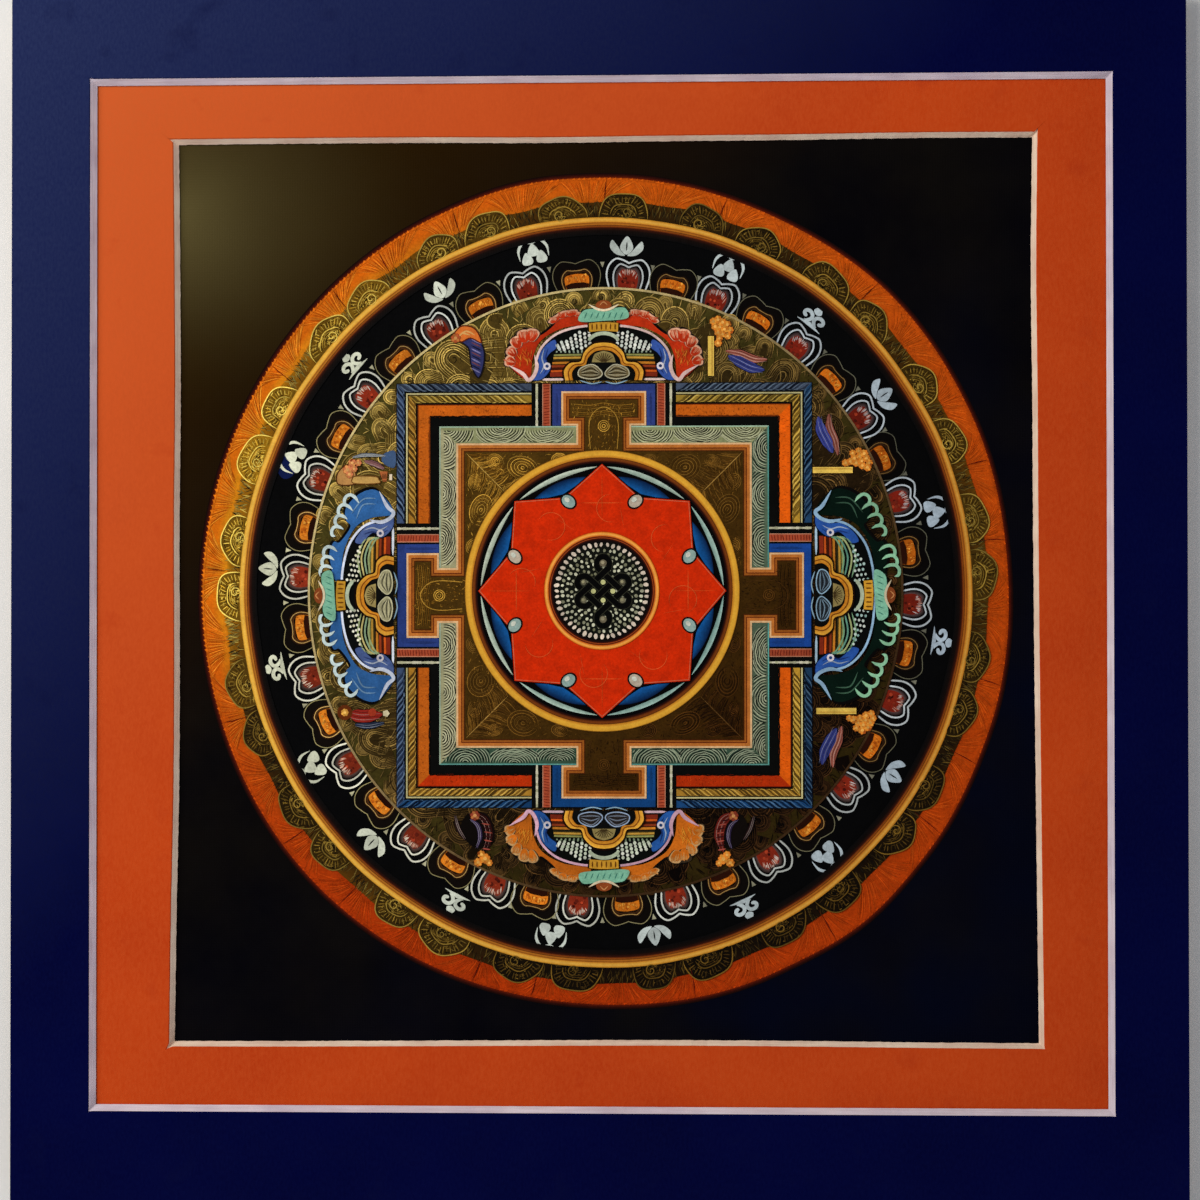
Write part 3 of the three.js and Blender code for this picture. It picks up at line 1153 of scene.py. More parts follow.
def orange_wall(paint, side):
    """Thin edge lines, a ragged dark inner edge and short scratches on the orange wall."""
    hand = paint.hand
    orange = ORANGES[side]
    inner = ORANGE_WALL[1]
    for strip in wall_strips(side, *ORANGE_WALL, GATE_GAP):
        paint.stroke(strip[:2], 0.14, mixed(orange, DARK_RED, 0.6), 7)
        paint.stroke(strip[2:], 0.14, mixed(orange, DARK_RED, 0.4), 7)
    long = half_side(side) - inner - GATE_GAP
    for sign in (-1, 1):
        ragged = [(GATE_GAP + long * k / 40, -inner + hand.uniform(-0.06, 0.14)) for k in range(41)]
        paint.stroke(on_side(side, mirrored(ragged, sign)), 0.3, (16, 9, 6), 7)
        for _ in range(90):
            u = sign * hand.uniform(GATE_GAP + 0.3, half_side(side) - 7.4)
            v = -hand.uniform(4.9, 6.6)
            path = [(u, v), (u + hand.uniform(-0.15, 0.15), v - hand.uniform(0.3, 0.6))]
            tone = mixed(orange, hand.choice((DARK_RED, (240, 150, 60))), 0.3)
            paint.stroke(on_side(side, path), 0.1, tone, 7, ends=0.4)


SWIRL_PITCH = 10.4
SWIRL_REACH = SWIRL_PITCH * 0.52
SWIRL_LINES = 20
SWIRL_LINE = 0.3  # from one line of a swirl to the next


def swirl(paint, side, sign, middle, tones):
    """Ripples in the teal wall: half rounds inside each other that hang from its outer edge."""
    hand = paint.hand
    half = half_side(side) - TEAL_OUTER - 0.3

    def inside(point):
        x, y = point
        far = min(half, half_side(side) + y)
        in_wall = -TEAL_INNER + 0.1 < y < -TEAL_OUTER - 0.3 and STEM + 0.15 < x < far
        return in_wall and abs(x - middle) < SWIRL_REACH

    top = -TEAL_OUTER - hand.uniform(0.1, 0.9)
    squash, lean = hand.uniform(0.6, 0.85), hand.uniform(-0.5, 0.5)
    for n in range(SWIRL_LINES):
        radius = 0.3 + n * SWIRL_LINE * hand.uniform(0.97, 1.03)
        whole = arc((middle, top), radius, 180, 360, 36, squash)
        rippled = [(x + lean * (top - y) / TEAL_INNER * 4, y + 0.06 * math.sin(3 * x + n)) for x, y in whole]
        for run in runs(rippled, inside):
            placed = on_side(side, mirrored(run, sign))
            paint.stroke(placed, hand.uniform(0.14, 0.28), tones[n % 2], 7, ends=0.12)


def teal_wall(paint, side):
    hand = paint.hand
    teal = TEALS[side]
    for strip in wall_strips(side, TEAL_OUTER, TEAL_INNER, STEM):
        paint.fill(strip, teal, 6)
    for strip in wall_strips(side, TEAL_OUTER - 0.05, TEAL_OUTER + 0.22, STEM):
        paint.fill(strip, TEAL_EDGES[side], 7)
    tones = (mixed(teal, BLACK, 0.82), mixed(teal, (236, 234, 196), 0.55))
    for sign in (-1, 1):
        middle = STEM + SWIRL_PITCH * hand.uniform(0.35, 0.6)
        while middle < half_side(side) - TEAL_OUTER - 0.3:
            swirl(paint, side, sign, middle, tones)
            middle += SWIRL_PITCH * hand.uniform(0.92, 1.08)


def paint_palace_walls(material):
    paint = Paint("paint_palace_walls", 0.07)
    edge = [p for side in SIDES for p in on_side(side, [(-half_side(side), 0)])]
    paint.fill(edge, (10, 10, 9), 5)
    for side in SIDES:
        for wall, colours in WALLS:
            for strip in wall_strips(side, *wall, GATE_GAP):
                paint.fill(strip, colours[side], 6)
        rope_walls(paint, side)
        orange_wall(paint, side)
        teal_wall(paint, side)
    for (inset, colour), (next_inset, _) in zip(COURT_LINES, COURT_LINES[1:]):
        near, far = court_outline(inset), court_outline(next_inset)
        paint.shaded(near + near[:1], far + far[:1], colour, colour, 8)
    return paint.make(material)


def court_tones(point):
    """The gold of the court's lines and the brown under them, lighter towards the upper left as painted
    light.
    """
    share = painted_light_share((2 * point[0], 2 * point[1]))
    return mixed((126, 86, 34), (232, 180, 72), share), mixed((32, 18, 6), (96, 60, 12), share)


def paint_court_corner(paint, corner, inward):
    """A leaf along the diagonal, and rounds inside each other in front of both walls."""
    hand = paint.hand
    line, deep = court_tones(corner)

    def lay(points, width, tone):
        kept = [point for point in points if min(point) > 0.15]
        path = [(corner[0] + inward[0] * a, corner[1] + inward[1] * b) for a, b in kept]
        for run in runs(path, lambda p: math.dist(p, MEDALLION_MIDDLE) > MEDALLION + 0.3):
            paint.stroke(run, width, tone, 9, ends=0.2)

    for flip in (False, True):

        def turned(points):
            return [(b, a) for a, b in points] if flip else points

        for k in range(44):
            d = 0.5 + 9 * k / 44
            long = hand.uniform(2, 5.5)
            leaf = [(d, d), (d + long * 0.45, d - 0.1 * d + 0.1), (d + long, d - 0.28 * d - 0.1)]
            lay(turned(smooth(leaf, 5)), 0.14, mixed(line, deep, hand.uniform(0.25, 1)))
        for along, away, size in ((12.6, 3.5, 3.4), (20.6, 1.9, 1.8), (6.6, 2.1, 1.8)):
            turn, squash = hand.uniform(-30, 30), hand.uniform(0.65, 0.9)
            rows = 9
            for n in range(rows):
                whole = arc((0, 0), size * (1 - n / rows), 0, 350, 30, squash)
                tone = mixed(line, deep, 0.15 + 0.55 * (n % 2) + hand.uniform(0, 0.2))
                lay(turned(moved(whole, (along, away), turn)), 0.15, tone)
        for _ in range(200):
            start = (hand.uniform(2, 24), hand.uniform(0.4, 9))
            end = (start[0] + hand.uniform(-0.4, 1.2), start[1] + hand.uniform(-0.5, 0.5))
            tick = [mixed(start, end, k / 3) for k in range(4)]
            lay(turned(tick), 0.12, mixed(line, deep, hand.uniform(0.2, 1)))
    lay([(0.3 + 0.5 * k, 0.3 + 0.5 * k) for k in range(19)], 0.2, mixed(line, (230, 200, 130), 0.3))


def paint_court_gate(paint, side):
    hand = paint.hand
    line, deep = court_tones(on_side(side, [(0, -9)])[0])
    for row in range(7):
        v = -4.6 - 0.42 * row
        path = smooth([(-6.8, v), (-3, v - 0.3), (0, v + 0.2), (3, v - 0.3), (6.8, v)], 4)
        tone = mixed(line, deep, 0.6 + 0.25 * (row % 2))
        paint.stroke(on_side(side, path), 0.14, tone, 9, ends=0.1)
    arch = smooth(both_halves([(-2.9, -14.4), (-3.2, -9.4), (-2.3, -6.6), (0, -5.3)]))
    paint.stroke(on_side(side, arch), 0.16, mixed(line, deep, 0.2), 9.5)
    for radius in (0.35, 0.8, 1.2):
        paint.stroke(on_side(side, arc((0, -9.4), radius, 0, 360, 18)), 0.15, mixed(line, deep, 0.1), 9.5)
    for _ in range(220):
        u, v = hand.uniform(-6.8, 6.8), hand.uniform(-7.3, -4.1)
        if hand.random() < 0.6:
            u, v = hand.uniform(-3.6, 3.6), hand.uniform(-14.8, -5)
        path = [(u, v), (u + hand.uniform(-0.4, 0.4), v + hand.uniform(-0.9, 0.9))]
        paint.stroke(on_side(side, path), 0.15, mixed(line, deep, hand.uniform(0.35, 1)), 9.2, ends=0.4)


def paint_court(material):
    """The floor of the court and of the gates, in fine gold lines on brown."""
    paint = Paint("paint_court", 0.2)
    paint.fill(court_outline(COURT_LINES[-1][0]), (72, 50, 14), 8)
    for side_x, across in (("left", 1), ("right", -1)):
        for side_y, up in (("bottom", 1), ("top", -1)):
            corner = (PALACE[side_x] + across * COURT_INSET, PALACE[side_y] + up * COURT_INSET)
            paint_court_corner(paint, corner, (across, up))
    for side in SIDES:
        paint_court_gate(paint, side)
    return paint.make(material)


# The coloured frames beside the gates

GATE_BLUES = by_side((50, 66, 132), (28, 70, 148), (20, 70, 130), (44, 64, 130))
JAMB, POST = (9.3, 11.15), (11.65, 13.25)  # from a gate's middle to their near and far edges
DASHES = 14.55  # and to the dashed white line
FRAME_FOOT = -9.3


def upright(edges, top):
    near, far = edges
    return [(near, top), (far, top), (far, FRAME_FOOT), (near, FRAME_FOOT)]


def gate_frame(paint, side, sign):
    """The blue jamb, the barred red-brown post and the dashed line on one side of a gate."""
    hand = paint.hand
    blue = GATE_BLUES[side]

    def placed(points):
        return on_side(side, mirrored(points, sign))

    paint.fill(placed(upright(JAMB, -1.8)), blue, 6)
    paint.fill(placed(upright(POST, -0.2)), (172, 76, 48), 6)
    for u in POST:
        paint.stroke(placed([(u, -0.2), (u, FRAME_FOOT)]), 0.16, (206, 140, 110), 7)
    for k in range(14):
        v = -0.6 - k * 0.62
        bar = [(11.75, v), (13.15, v - hand.uniform(0, 0.3))]
        paint.stroke(placed(bar), 0.14, (116, 32, 22), 7, ends=0.3)
    for k in range(14):
        v = -0.2 - k * 0.66
        tone = mixed((176, 176, 140), (228, 222, 196), hand.random())
        paint.stroke(placed([(DASHES, v), (DASHES, v - 0.68)]), hand.uniform(0.38, 0.6), tone, 6)
    streak = [(10.2, -2.2), (10.2, FRAME_FOOT + 0.4)]
    paint.stroke(placed(streak), 0.5, mixed(blue, BLACK, 0.15), 7, ends=0.3)


def paint_gate_frames(material):
    """The coloured jambs that stand between each gate and the ends of its walls."""
    paint = Paint("paint_gate_frames", 0.06)
    far = JAMB[1]
    for side in SIDES:
        lintel = [(-far, -0.3), (far, -0.3), (far, -2.6), (-far, -2.6)]
        paint.fill(on_side(side, lintel), GATE_BLUES[side], 6)
        for sign in (-1, 1):
            gate_frame(paint, side, sign)
    return paint.make(material)


# The canopy over each gate: a gold trefoil arch, a beaded dome and a curling plume, of a plain design

FIGURE_BLUES = by_side((64, 112, 200), (64, 112, 200), (64, 112, 200), (128, 152, 196))
PLUMES = {  # the plume's colour, its curls, its edge line, the beads' colour, and whether it is foamy
    "top": ((190, 50, 18), (232, 174, 140), (240, 204, 196), (206, 216, 204), False),
    "left": ((50, 100, 160), (206, 224, 222), (214, 222, 240), (226, 220, 176), True),
    "right": ((6, 24, 17), (150, 206, 166), (158, 196, 226), (120, 176, 170), True),
    "bottom": ((208, 108, 26), (206, 160, 104), (220, 172, 190), (180, 196, 164), False),
}


def lobe(foot, tip, wide, inset=0.0):
    """One lobe of a plume's edge: a drop from foot to tip."""
    (x, y), (tip_x, tip_y) = foot, tip
    long = math.dist(foot, tip) - inset
    wide -= inset
    turn = math.degrees(math.atan2(tip_y - y, tip_x - x)) - 90
    drop = blob([
        (-0.5 * wide, 0), (-wide, 0.55 * long), (-0.9 * wide, 0.85 * long), (-0.2 * wide, long),
        (0.7 * wide, 0.9 * long), (wide, 0.6 * long), (0.5 * wide, 0)])
    return moved(drop, foot, turn)


def scallops(paint, placed, colour, rim):
    """The lobed edge of a plume, pale at the rim, with pale streaks running in from it."""
    hand = paint.hand
    lobes = [(mixed(foot, tip, 0.45), mixed(tip, foot, 0.1), hand.uniform(1.1, 1.5)) for foot, tip in FINGERS]
    for foot, tip, wide in lobes:
        paint.fill(placed(lobe(foot, tip, wide + 0.14, -0.14)), mixed(rim, BLACK, 0.75), 6.8)
        paint.fill(placed(lobe(foot, tip, wide)), rim, 7)
    for foot, tip, wide in lobes:
        paint.fill(placed(lobe(foot, mixed(tip, foot, 0.06), wide, 0.28)), mixed(colour, rim, 0.3), 8)
        paint.fill(placed(lobe(foot, mixed(tip, foot, 0.2), wide, 0.45)), colour, 8.3)
        for _ in range(11):
            side = hand.uniform(-0.6, 0.6) * wide
            start = mixed(tip, foot, hand.uniform(0.08, 0.2))
            end = mixed(tip, foot, hand.uniform(0.3, 0.9))
            streak = [(start[0] + side, start[1]), (end[0] + 0.7 * side, end[1])]
            paint.stroke(placed(streak), 0.3, mixed(colour, rim, hand.uniform(0.3, 0.9)), 8.5, ends=0.4)


def hook(paint, placed, foot, turn, size, rim):
    """A pale crest like the top of a wave."""
    crest = smooth([(0.1, -0.9), (0.35, 0.2), (0.1, 1.2), (-0.7, 1.6), (-1.5, 1.3), (-1.6, 0.6)], 5)
    paint.stroke(placed(moved(stretched(crest, size, size), foot, turn)), 0.7, rim, 9, ends=0.2)


PLUME = (
    (16.2, 0.6), (19.8, 3.0), (21.0, 5.4), (20.0, 8.6), (17.4, 11.4), (14.9, 11.4), (13.6, 10.4),
    (10.6, 12.8), (10.6, 14.2), (8.4, 15.2), (5.8, 14.8), (3.4, 14.2), (3.2, 12.6), (8.6, 12.0),
    (13.4, 9.4), (15.4, 5.6),
)
FINGERS = (  # foot and tip of each lobe
    ((16.6, 6.6), (15.0, 12.4)), ((17.2, 6.2), (17.4, 12.2)), ((17.6, 5.4), (19.6, 10.6)),
    ((17.6, 4.4), (21.2, 8.0)), ((17.4, 3.4), (21.9, 5.4)), ((9.6, 12.2), (11.2, 14.6)),
    ((8.2, 12.8), (9.3, 15.8)), ((6.8, 13.2), (7.2, 16.2)), ((5.4, 13.4), (5.2, 15.6)),
)
HOOKS = (  # foot and turn of each crest
    ((18.9, 9.4), -40), ((17.2, 10.9), -28), ((15.3, 12.0), -20), ((13.2, 12.9), -12),
    ((9.0, 14.4), -24), ((7.2, 15.0), -18), ((5.4, 15.4), -12),
)
DOME = ((0, 12.5), (5.5, 12.1), (10.2, 10.6), (13.4, 7.8), (14.6, 4.6), (14.4, 0.7))
FIGURE = (
    (10.6, 9.4), (12.6, 8.2), (14.2, 5.8), (14.2, 3.2), (15.2, 1.4), (16.4, 0.7), (14.0, 0.5), (12.4, 1.6),
    (11.4, 3.4), (12.4, 5.0), (11.6, 6.4), (10.2, 7.6),
)
TAIL = ((15.0, 6.0), (14.5, 3.6), (15.2, 1.5), (16.4, 0.6), (17.6, 2.0), (20.6, 3.8))


def plume(paint, side, placed):
    """The plume on one side of a canopy, with crests like foam or with a lobed edge."""
    hand = paint.hand
    colour, rim, _, _, foamy = PLUMES[side]
    mass = blob(PLUME)
    paint.fill(placed(shifted(stretched(mass, 1.02, 1.02), 0.1, 0.2)), (9, 7, 7), 6)
    paint.fill(placed(mass), colour, 6.5)
    if foamy:
        for foot, turn in HOOKS:
            hook(paint, placed, foot, turn, hand.uniform(1.0, 1.25), rim)
        for shift in (0, 1.1):
            fold = smooth([(19.2 - shift, 4.6), (19.0 - shift, 7.6), (16.2 - shift, 10.2 - shift)], 6)
            paint.stroke(placed(fold), 0.3, mixed(colour, rim, 0.4), 8, ends=0.3)
        return
    scallops(paint, placed, colour, rim)
    for _ in range(24):
        start = (hand.uniform(15.6, 18.4), hand.uniform(3.4, 6.4))
        end = (start[0] + hand.uniform(-0.4, 1.2), start[1] + hand.uniform(1, 2))
        tone = mixed(colour, (240, 180, 60), hand.uniform(0, 0.7))
        paint.stroke(placed([start, end]), 0.16, tone, 9, ends=0.4)


def dome_and_figure(paint, side, placed):
    """Half of the dark dome with its edge line, and the blue figure at its foot."""
    edge = PLUMES[side][2]
    dome = smooth(DOME, 5)
    paint.fill(placed(dome + [(0, 0.7)]), (9, 11, 10), 10)
    paint.stroke(placed(dome[:-4]), 0.5, edge, 13, ends=0.08)
    blue = mixed(GATE_BLUES[side], FIGURE_BLUES[side], 0.45)
    figure = blob(FIGURE)
    paint.fill(placed(figure), blue, 12)
    paint.stroke(placed(figure), 0.16, (8, 14, 40), 12.5, closed=True)
    for shift, tone in ((0.0, WHITE), (0.8, (20, 30, 80))):
        fold = smooth([(12.9 - shift, 7.4), (13.4 - shift, 5.4), (13.0 - shift, 3.6), (13.8 - shift, 1.9)], 5)
        paint.stroke(placed(fold), 0.3, mixed(blue, tone, 0.6), 13, ends=0.3)
    paint.stroke(placed(smooth(TAIL, 6)), 0.8, edge, 13.5, ends=0.2)
    eye = placed([(12.3, 3.6)])[0]
    paint.dot(eye, 0.82, (228, 220, 226), 14)
    paint.dot(eye, 0.36, mixed(blue, BLACK, 0.3), 14.5)
    paint.stroke(placed([(7.6, 0.75), (14.2, 0.7)]), 0.5, mixed(edge, WHITE, 0.25), 11, ends=0.1)


STEPS = (  # height, width and colour of each step
    (1.8, 0.9, (132, 44, 24)), (2.55, 0.45, (214, 92, 30)), (3.1, 0.4, (70, 26, 12)),
    (3.6, 0.5, (150, 60, 28)), (4.3, 0.5, (212, 132, 40)), (4.95, 0.3, (60, 50, 24)),
    (5.4, 0.45, (196, 150, 60)), (6.0, 0.4, (150, 150, 84)),
)


def beads_half(paint, side, placed):
    """Steps beside the arch and strings of beads over them."""
    hand = paint.hand
    beads, foamy = PLUMES[side][3:]
    for v, width, colour in STEPS:
        path = smooth([(3.4, v + 0.1), (6.6, v + 0.05), (9.6, v), (12.0 - 0.2 * v, v - 0.05)], 4)
        paint.stroke(placed(path), width, colour, 11)
    for k in range(4 if foamy else 0):
        rib = smooth([(3.4, 7.9 - 0.75 * k), (7.4, 8.7 - 0.8 * k),
                      (10.6, 7.4 - 0.8 * k), (11.6, 5.4 - 0.6 * k)], 6)
        tone = mixed(beads, ((120, 150, 90), (200, 180, 90), (90, 140, 110))[k % 3], 0.6)
        paint.stroke(placed(rib), 0.36, tone, 12, ends=0.15)
    strings, count = (11, 4) if foamy else (10, 5)
    for k in range(strings):
        foot = (2.9 + 0.94 * k, 7.6 - 0.01 * k * k + (1.0 if foamy else 0.0))
        head = (3.2 + 1.06 * k, 12.0 - 0.06 * k * k)
        for n in range(count):
            u, v = mixed(foot, head, (n + 0.5 * (k % 2)) / count)
            if v > 11.9 - 0.036 * u * u or (u > 10.4 and v < 8.2):
                continue
            tone = mixed(beads, (240, 238, 226), hand.uniform(0.2, 0.9))
            size = hand.uniform(0.26, 0.31) if foamy else hand.uniform(0.32, 0.38)
            paint.dot(placed([(u, v)])[0], size, tone, 12.5, squash=1.1, sides=9)
        if not foamy and foot[0] < 11:
            tassel = [mixed(foot, head, -0.3), mixed(foot, head, -0.08)]
            paint.stroke(placed(tassel), 0.4, mixed(beads, (70, 90, 60), 0.45), 12, ends=0.3)


ARCH = ((-8.3, 0.5), (-8.6, 2.5), (-7.3, 4.2), (-5.0, 4.6), (-4.2, 6.6), (-2.3, 8.3), (0, 8.7))
LEAF = ((0.35, 2.2), (2.3, 3.9), (5.0, 3.1), (5.4, 1.5), (3.2, 0.8), (1.0, 1.1))
LEAF_COLOURS = by_side((112, 98, 66), (54, 62, 70), (58, 52, 50), (168, 162, 124))
LEAF_EDGES = by_side((196, 190, 160), (150, 184, 206), (150, 170, 196), (206, 200, 160))
BLOCK = ((-3.1, 11.0), (-3.2, 12.9), (-1.0, 13.1), (1.0, 13.1), (3.2, 12.9), (3.1, 11.0), (0, 11.25))
RIBBON = (
    (-5.3, 13.3), (-4.4, 15.6), (-1.6, 16.0), (0, 15.5), (1.6, 16.0), (4.6, 16.2), (5.2, 14.0), (0, 13.4),
)
SPREAD = by_side((1, 1), (1.1, 1.07), (1, 1), (1.1, 0.96))  # a canopy's stretch along and across its side


def trefoil_arch(paint, side):
    """The gold arch of three lobes, with a small fan in its top."""
    def about_foot(points, size):
        return [(size * u, size * (v - 0.5) + 0.5) for u, v in points]

    arch = both_halves(smooth(ARCH, 6))
    placed = on_side(side, arch)
    paint.fill(placed, (12, 12, 11), 15)
    paint.stroke(on_side(side, stretched(arch, 1.03, 1.03)), 0.3, (30, 12, 6), 15.5)
    paint.shaded(placed, on_side(side, about_foot(arch, 0.8)), (240, 176, 62), (206, 126, 32), 16)
    paint.stroke(on_side(side, about_foot(arch, 0.89)), 0.22, (132, 66, 16), 17)
    fan = both_halves(smooth([(-2.6, 4.4), (-1.9, 6.2), (0, 6.9)], 4))
    paint.fill(on_side(side, fan), (156, 138, 84), 16)
    for spoke in range(-4, 5):
        path = [(0.1 * spoke, 4.5), (0.48 * spoke, 6.4 - 0.06 * spoke * spoke)]
        paint.stroke(on_side(side, path), 0.16, (66, 50, 26), 17)


def arch_leaf(paint, side, sign):
    """A veined leaf under one side of the arch, and the frill at its foot."""
    colour, edge = LEAF_COLOURS[side], LEAF_EDGES[side]

    def placed(points):
        return on_side(side, mirrored(points, sign))

    outline = placed(blob(LEAF))
    paint.fill(outline, colour, 16)
    for n in range(6):
        vein = smooth([(0.8, 2.1 - 0.1 * n), (2.7, 3.6 - 0.5 * n), (5.0, 2.5 - 0.2 * n)], 4)
        paint.stroke(placed(vein), 0.2, mixed(colour, BLACK if n % 2 else edge, 0.65), 17, ends=0.2)
    paint.stroke(outline + outline[:1], 0.24, edge, 17)
    frill = smooth([(0.3, 0.2), (2.6, -0.25), (5.2, 0.5)], 4)
    paint.stroke(placed(frill), 0.26, (150, 186, 206), 17, ends=0.2)


def block_and_ribbon(paint, side):
    """The collar, the gold block and the green ribbon on top of the dome."""
    def placed(points):
        return on_side(side, points)

    collar = smooth(both_halves([(-3.4, 9.2), (-1.9, 10.3), (0, 10.7)]), 5)
    paint.stroke(placed(collar), 0.8, (190, 202, 172), 16, ends=0.12)
    paint.fill(placed(shifted(stretched(BLOCK, 1.1, 1.04), 0, -0.45)), (24, 14, 6), 15.5)
    paint.fill(placed(BLOCK), (214, 156, 48), 16)
    for n in range(6):
        u = -2.5 + n
        paint.stroke(placed([(u, 11.4), (u, 12.8)]), 0.3, (112, 64, 14), 17, ends=0.3)
    paint.fill(placed(stretched(RIBBON, 1.06, 1.02)), (14, 30, 24), 15.5)
    paint.fill(placed(blob(RIBBON)), (140, 204, 172), 16)
    for n in range(7):
        u = -4.2 + 1.3 * n
        paint.stroke(placed([(u, 13.9), (u + 0.6, 15.3)]), 0.22, (62, 128, 112), 17, ends=0.4)


def top_jewel(paint, side):
    """The bow and the red-brown jewel above the ribbon."""
    bow = smooth(both_halves([(-3.3, 17.0), (-1.5, 16.0), (0, 15.7)]), 5)
    paint.stroke(on_side(side, bow), 0.5, (230, 212, 176), 18, ends=0.2)
    gem = blob([(-1.6, 16.4), (-1.4, 17.4), (0, 17.9), (1.4, 17.4), (1.6, 16.4), (0, 16.0)])
    paint.fill(on_side(side, gem), (146, 72, 34), 17)
    gleam = smooth([(-0.9, 16.7), (0, 17.5), (0.9, 16.7)], 5)
    paint.stroke(on_side(side, gleam), 0.26, (216, 146, 88), 18, ends=0.3)


def canopy(paint, side):
    along, across = SPREAD[side]
    for sign in (-1, 1):

        def placed(points):
            return on_side(side, stretched(points, sign * along, across))

        plume(paint, side, placed)
        dome_and_figure(paint, side, placed)
        beads_half(paint, side, placed)
    trefoil_arch(paint, side)
    for sign in (-1, 1):
        arch_leaf(paint, side, sign)
    block_and_ribbon(paint, side)
    top_jewel(paint, side)


def paint_canopies(material):
    paint = Paint("paint_canopies", 0.08)
    for side in SIDES:
        canopy(paint, side)
    return paint.make(material)


# Banners beside each canopy: posts, flowers, plumes and scarves

YELLOW, FLOWER = (242, 202, 92), (224, 132, 44)


def flower(paint, centre, size, colour, coat):
    for k in range(7):
        a = math.tau * k / 7 + size
        place = (centre[0] + size * 0.6 * math.cos(a), centre[1] + size * 0.6 * math.sin(a))
        paint.dot(place, size * 0.42, mixed(colour, (120, 40, 14), 0.6), coat, sides=8)
        paint.dot(place, size * 0.33, mixed(colour, YELLOW, 0.3 * (k % 2)), coat + 0.5, sides=8)
    paint.dot(centre, size * 0.36, mixed(colour, (255, 220, 130), 0.5), coat + 1, sides=8)


def leaf(paint, path, wide, colour):
    """A long leaf with a dark edge and fine stripes along it."""
    paint.stroke(path, wide + 0.3, mixed(colour, BLACK, 0.85), 7, ends=0.35)
    paint.stroke(path, wide, colour, 7.5, ends=0.35)
    (x, y), (end_x, end_y) = path[0], path[-1]
    long = math.dist(path[0], path[-1])
    across = ((y - end_y) / long, (end_x - x) / long)
    for n, shift in enumerate((-0.3, -0.1, 0.1, 0.3)):
        stripe = [(px + across[0] * shift * wide, py + across[1] * shift * wide) for px, py in path]
        paint.stroke(stripe, 0.13, mixed(colour, BLACK if n % 2 else WHITE, 0.45), 8, ends=0.4)


CLUSTER = (  # the flowers on a post
    (25.6, 12.6), (26.6, 13.0), (27.6, 12.4), (28.6, 11.9), (26.0, 11.5), (27.0, 11.4), (28.0, 10.9),
    (29.2, 10.7), (26.6, 10.2), (27.6, 9.8), (28.7, 9.4), (26.9, 8.9), (26.6, 7.9),
)


def post(paint, placed):
    paint.fill(placed([(24.2, 0.7), (25.9, 0.7), (25.9, 9.5), (24.2, 9.5)]), (60, 34, 12), 7)
    paint.fill(placed([(24.4, 0.8), (25.7, 0.8), (25.7, 9.4), (24.4, 9.4)]), YELLOW, 7.5)
    paint.stroke(placed([(25.3, 1), (25.3, 9.2)]), 0.2, (206, 156, 60), 8)
    for place in CLUSTER:
        flower(paint, placed([place])[0], paint.hand.uniform(0.75, 0.95), FLOWER, 8)
    leaf(paint, placed(smooth([(28.3, 6.2), (31.4, 5.6), (34.4, 4.4), (37.2, 4.3)], 6)), 1.6, (168, 92, 76))
    leaf(paint, placed(smooth([(28.8, 5.1), (31.2, 3.9), (33.8, 2.6), (36.6, 2.0)], 6)), 2.3, (58, 66, 140))


def bowl(paint, placed):
    hand = paint.hand
    haze = blob([(28.0, 0.3), (28.2, 2.0), (29.4, 3.2), (30.9, 2.6), (31.4, 0.3)])
    paint.fill(placed(haze), (62, 84, 118), 7)
    leaf(paint, placed(smooth([(30.1, 9.6), (30.6, 6.6), (30.4, 2.4)], 6)), 0.7, (150, 156, 164))
    shoulder = blob([(24.3, 9.0), (24.2, 12.6), (26.4, 12.9), (28.2, 11.4), (28.4, 9.8), (26.4, 8.8)])
    paint.fill(placed(shoulder), (192, 140, 80), 7)
    paint.stroke(placed(shoulder), 0.26, (84, 46, 18), 7.5, closed=True)
    bar = blob([(24.4, 3.9), (24.4, 9.2), (25.6, 9.5), (26.0, 8.6), (25.9, 4.6), (25.3, 3.8)], 4)
    paint.fill(placed(bar), (210, 166, 92), 8)
    paint.stroke(placed(bar), 0.22, (110, 68, 26), 8.5, closed=True)
    bunch = ((27.4, 10.6, 1.1), (28.9, 9.6, 0.9), (27.6, 9.2, 0.8), (28.9, 8.3, 0.8), (26.4, 10.2, 0.9))
    for u, v, size in bunch:
        flower(paint, placed([(u, v)])[0], size, (206, 122, 78), 9)
    leaf(paint, placed(smooth([(29.3, 7.0), (28.6, 4.6), (27.6, 2.6)], 6)), 1.1, (142, 96, 96))
    jar = [(27.0, 1.9), (27.0, 3.7), (26.0, 3.3), (24.8, 2.9), (24.8, 2.1)]
    paint.fill(placed(shifted(stretched(jar, 1.01, 1.1), -0.3, -0.2)), (60, 26, 12), 7.5)
    paint.fill(placed(jar), (186, 104, 56), 8)
    for _ in range(8):
        u = hand.uniform(25, 26.8)
        tone = mixed((186, 104, 56), BLACK, hand.uniform(0.1, 0.6))
        paint.stroke(placed([(u, 2.1), (u, 3.1)]), 0.18, tone, 8.5)
    paint.stroke(placed([(25.1, 1.2), (26.4, 1.2)]), 0.6, (226, 208, 180), 8)


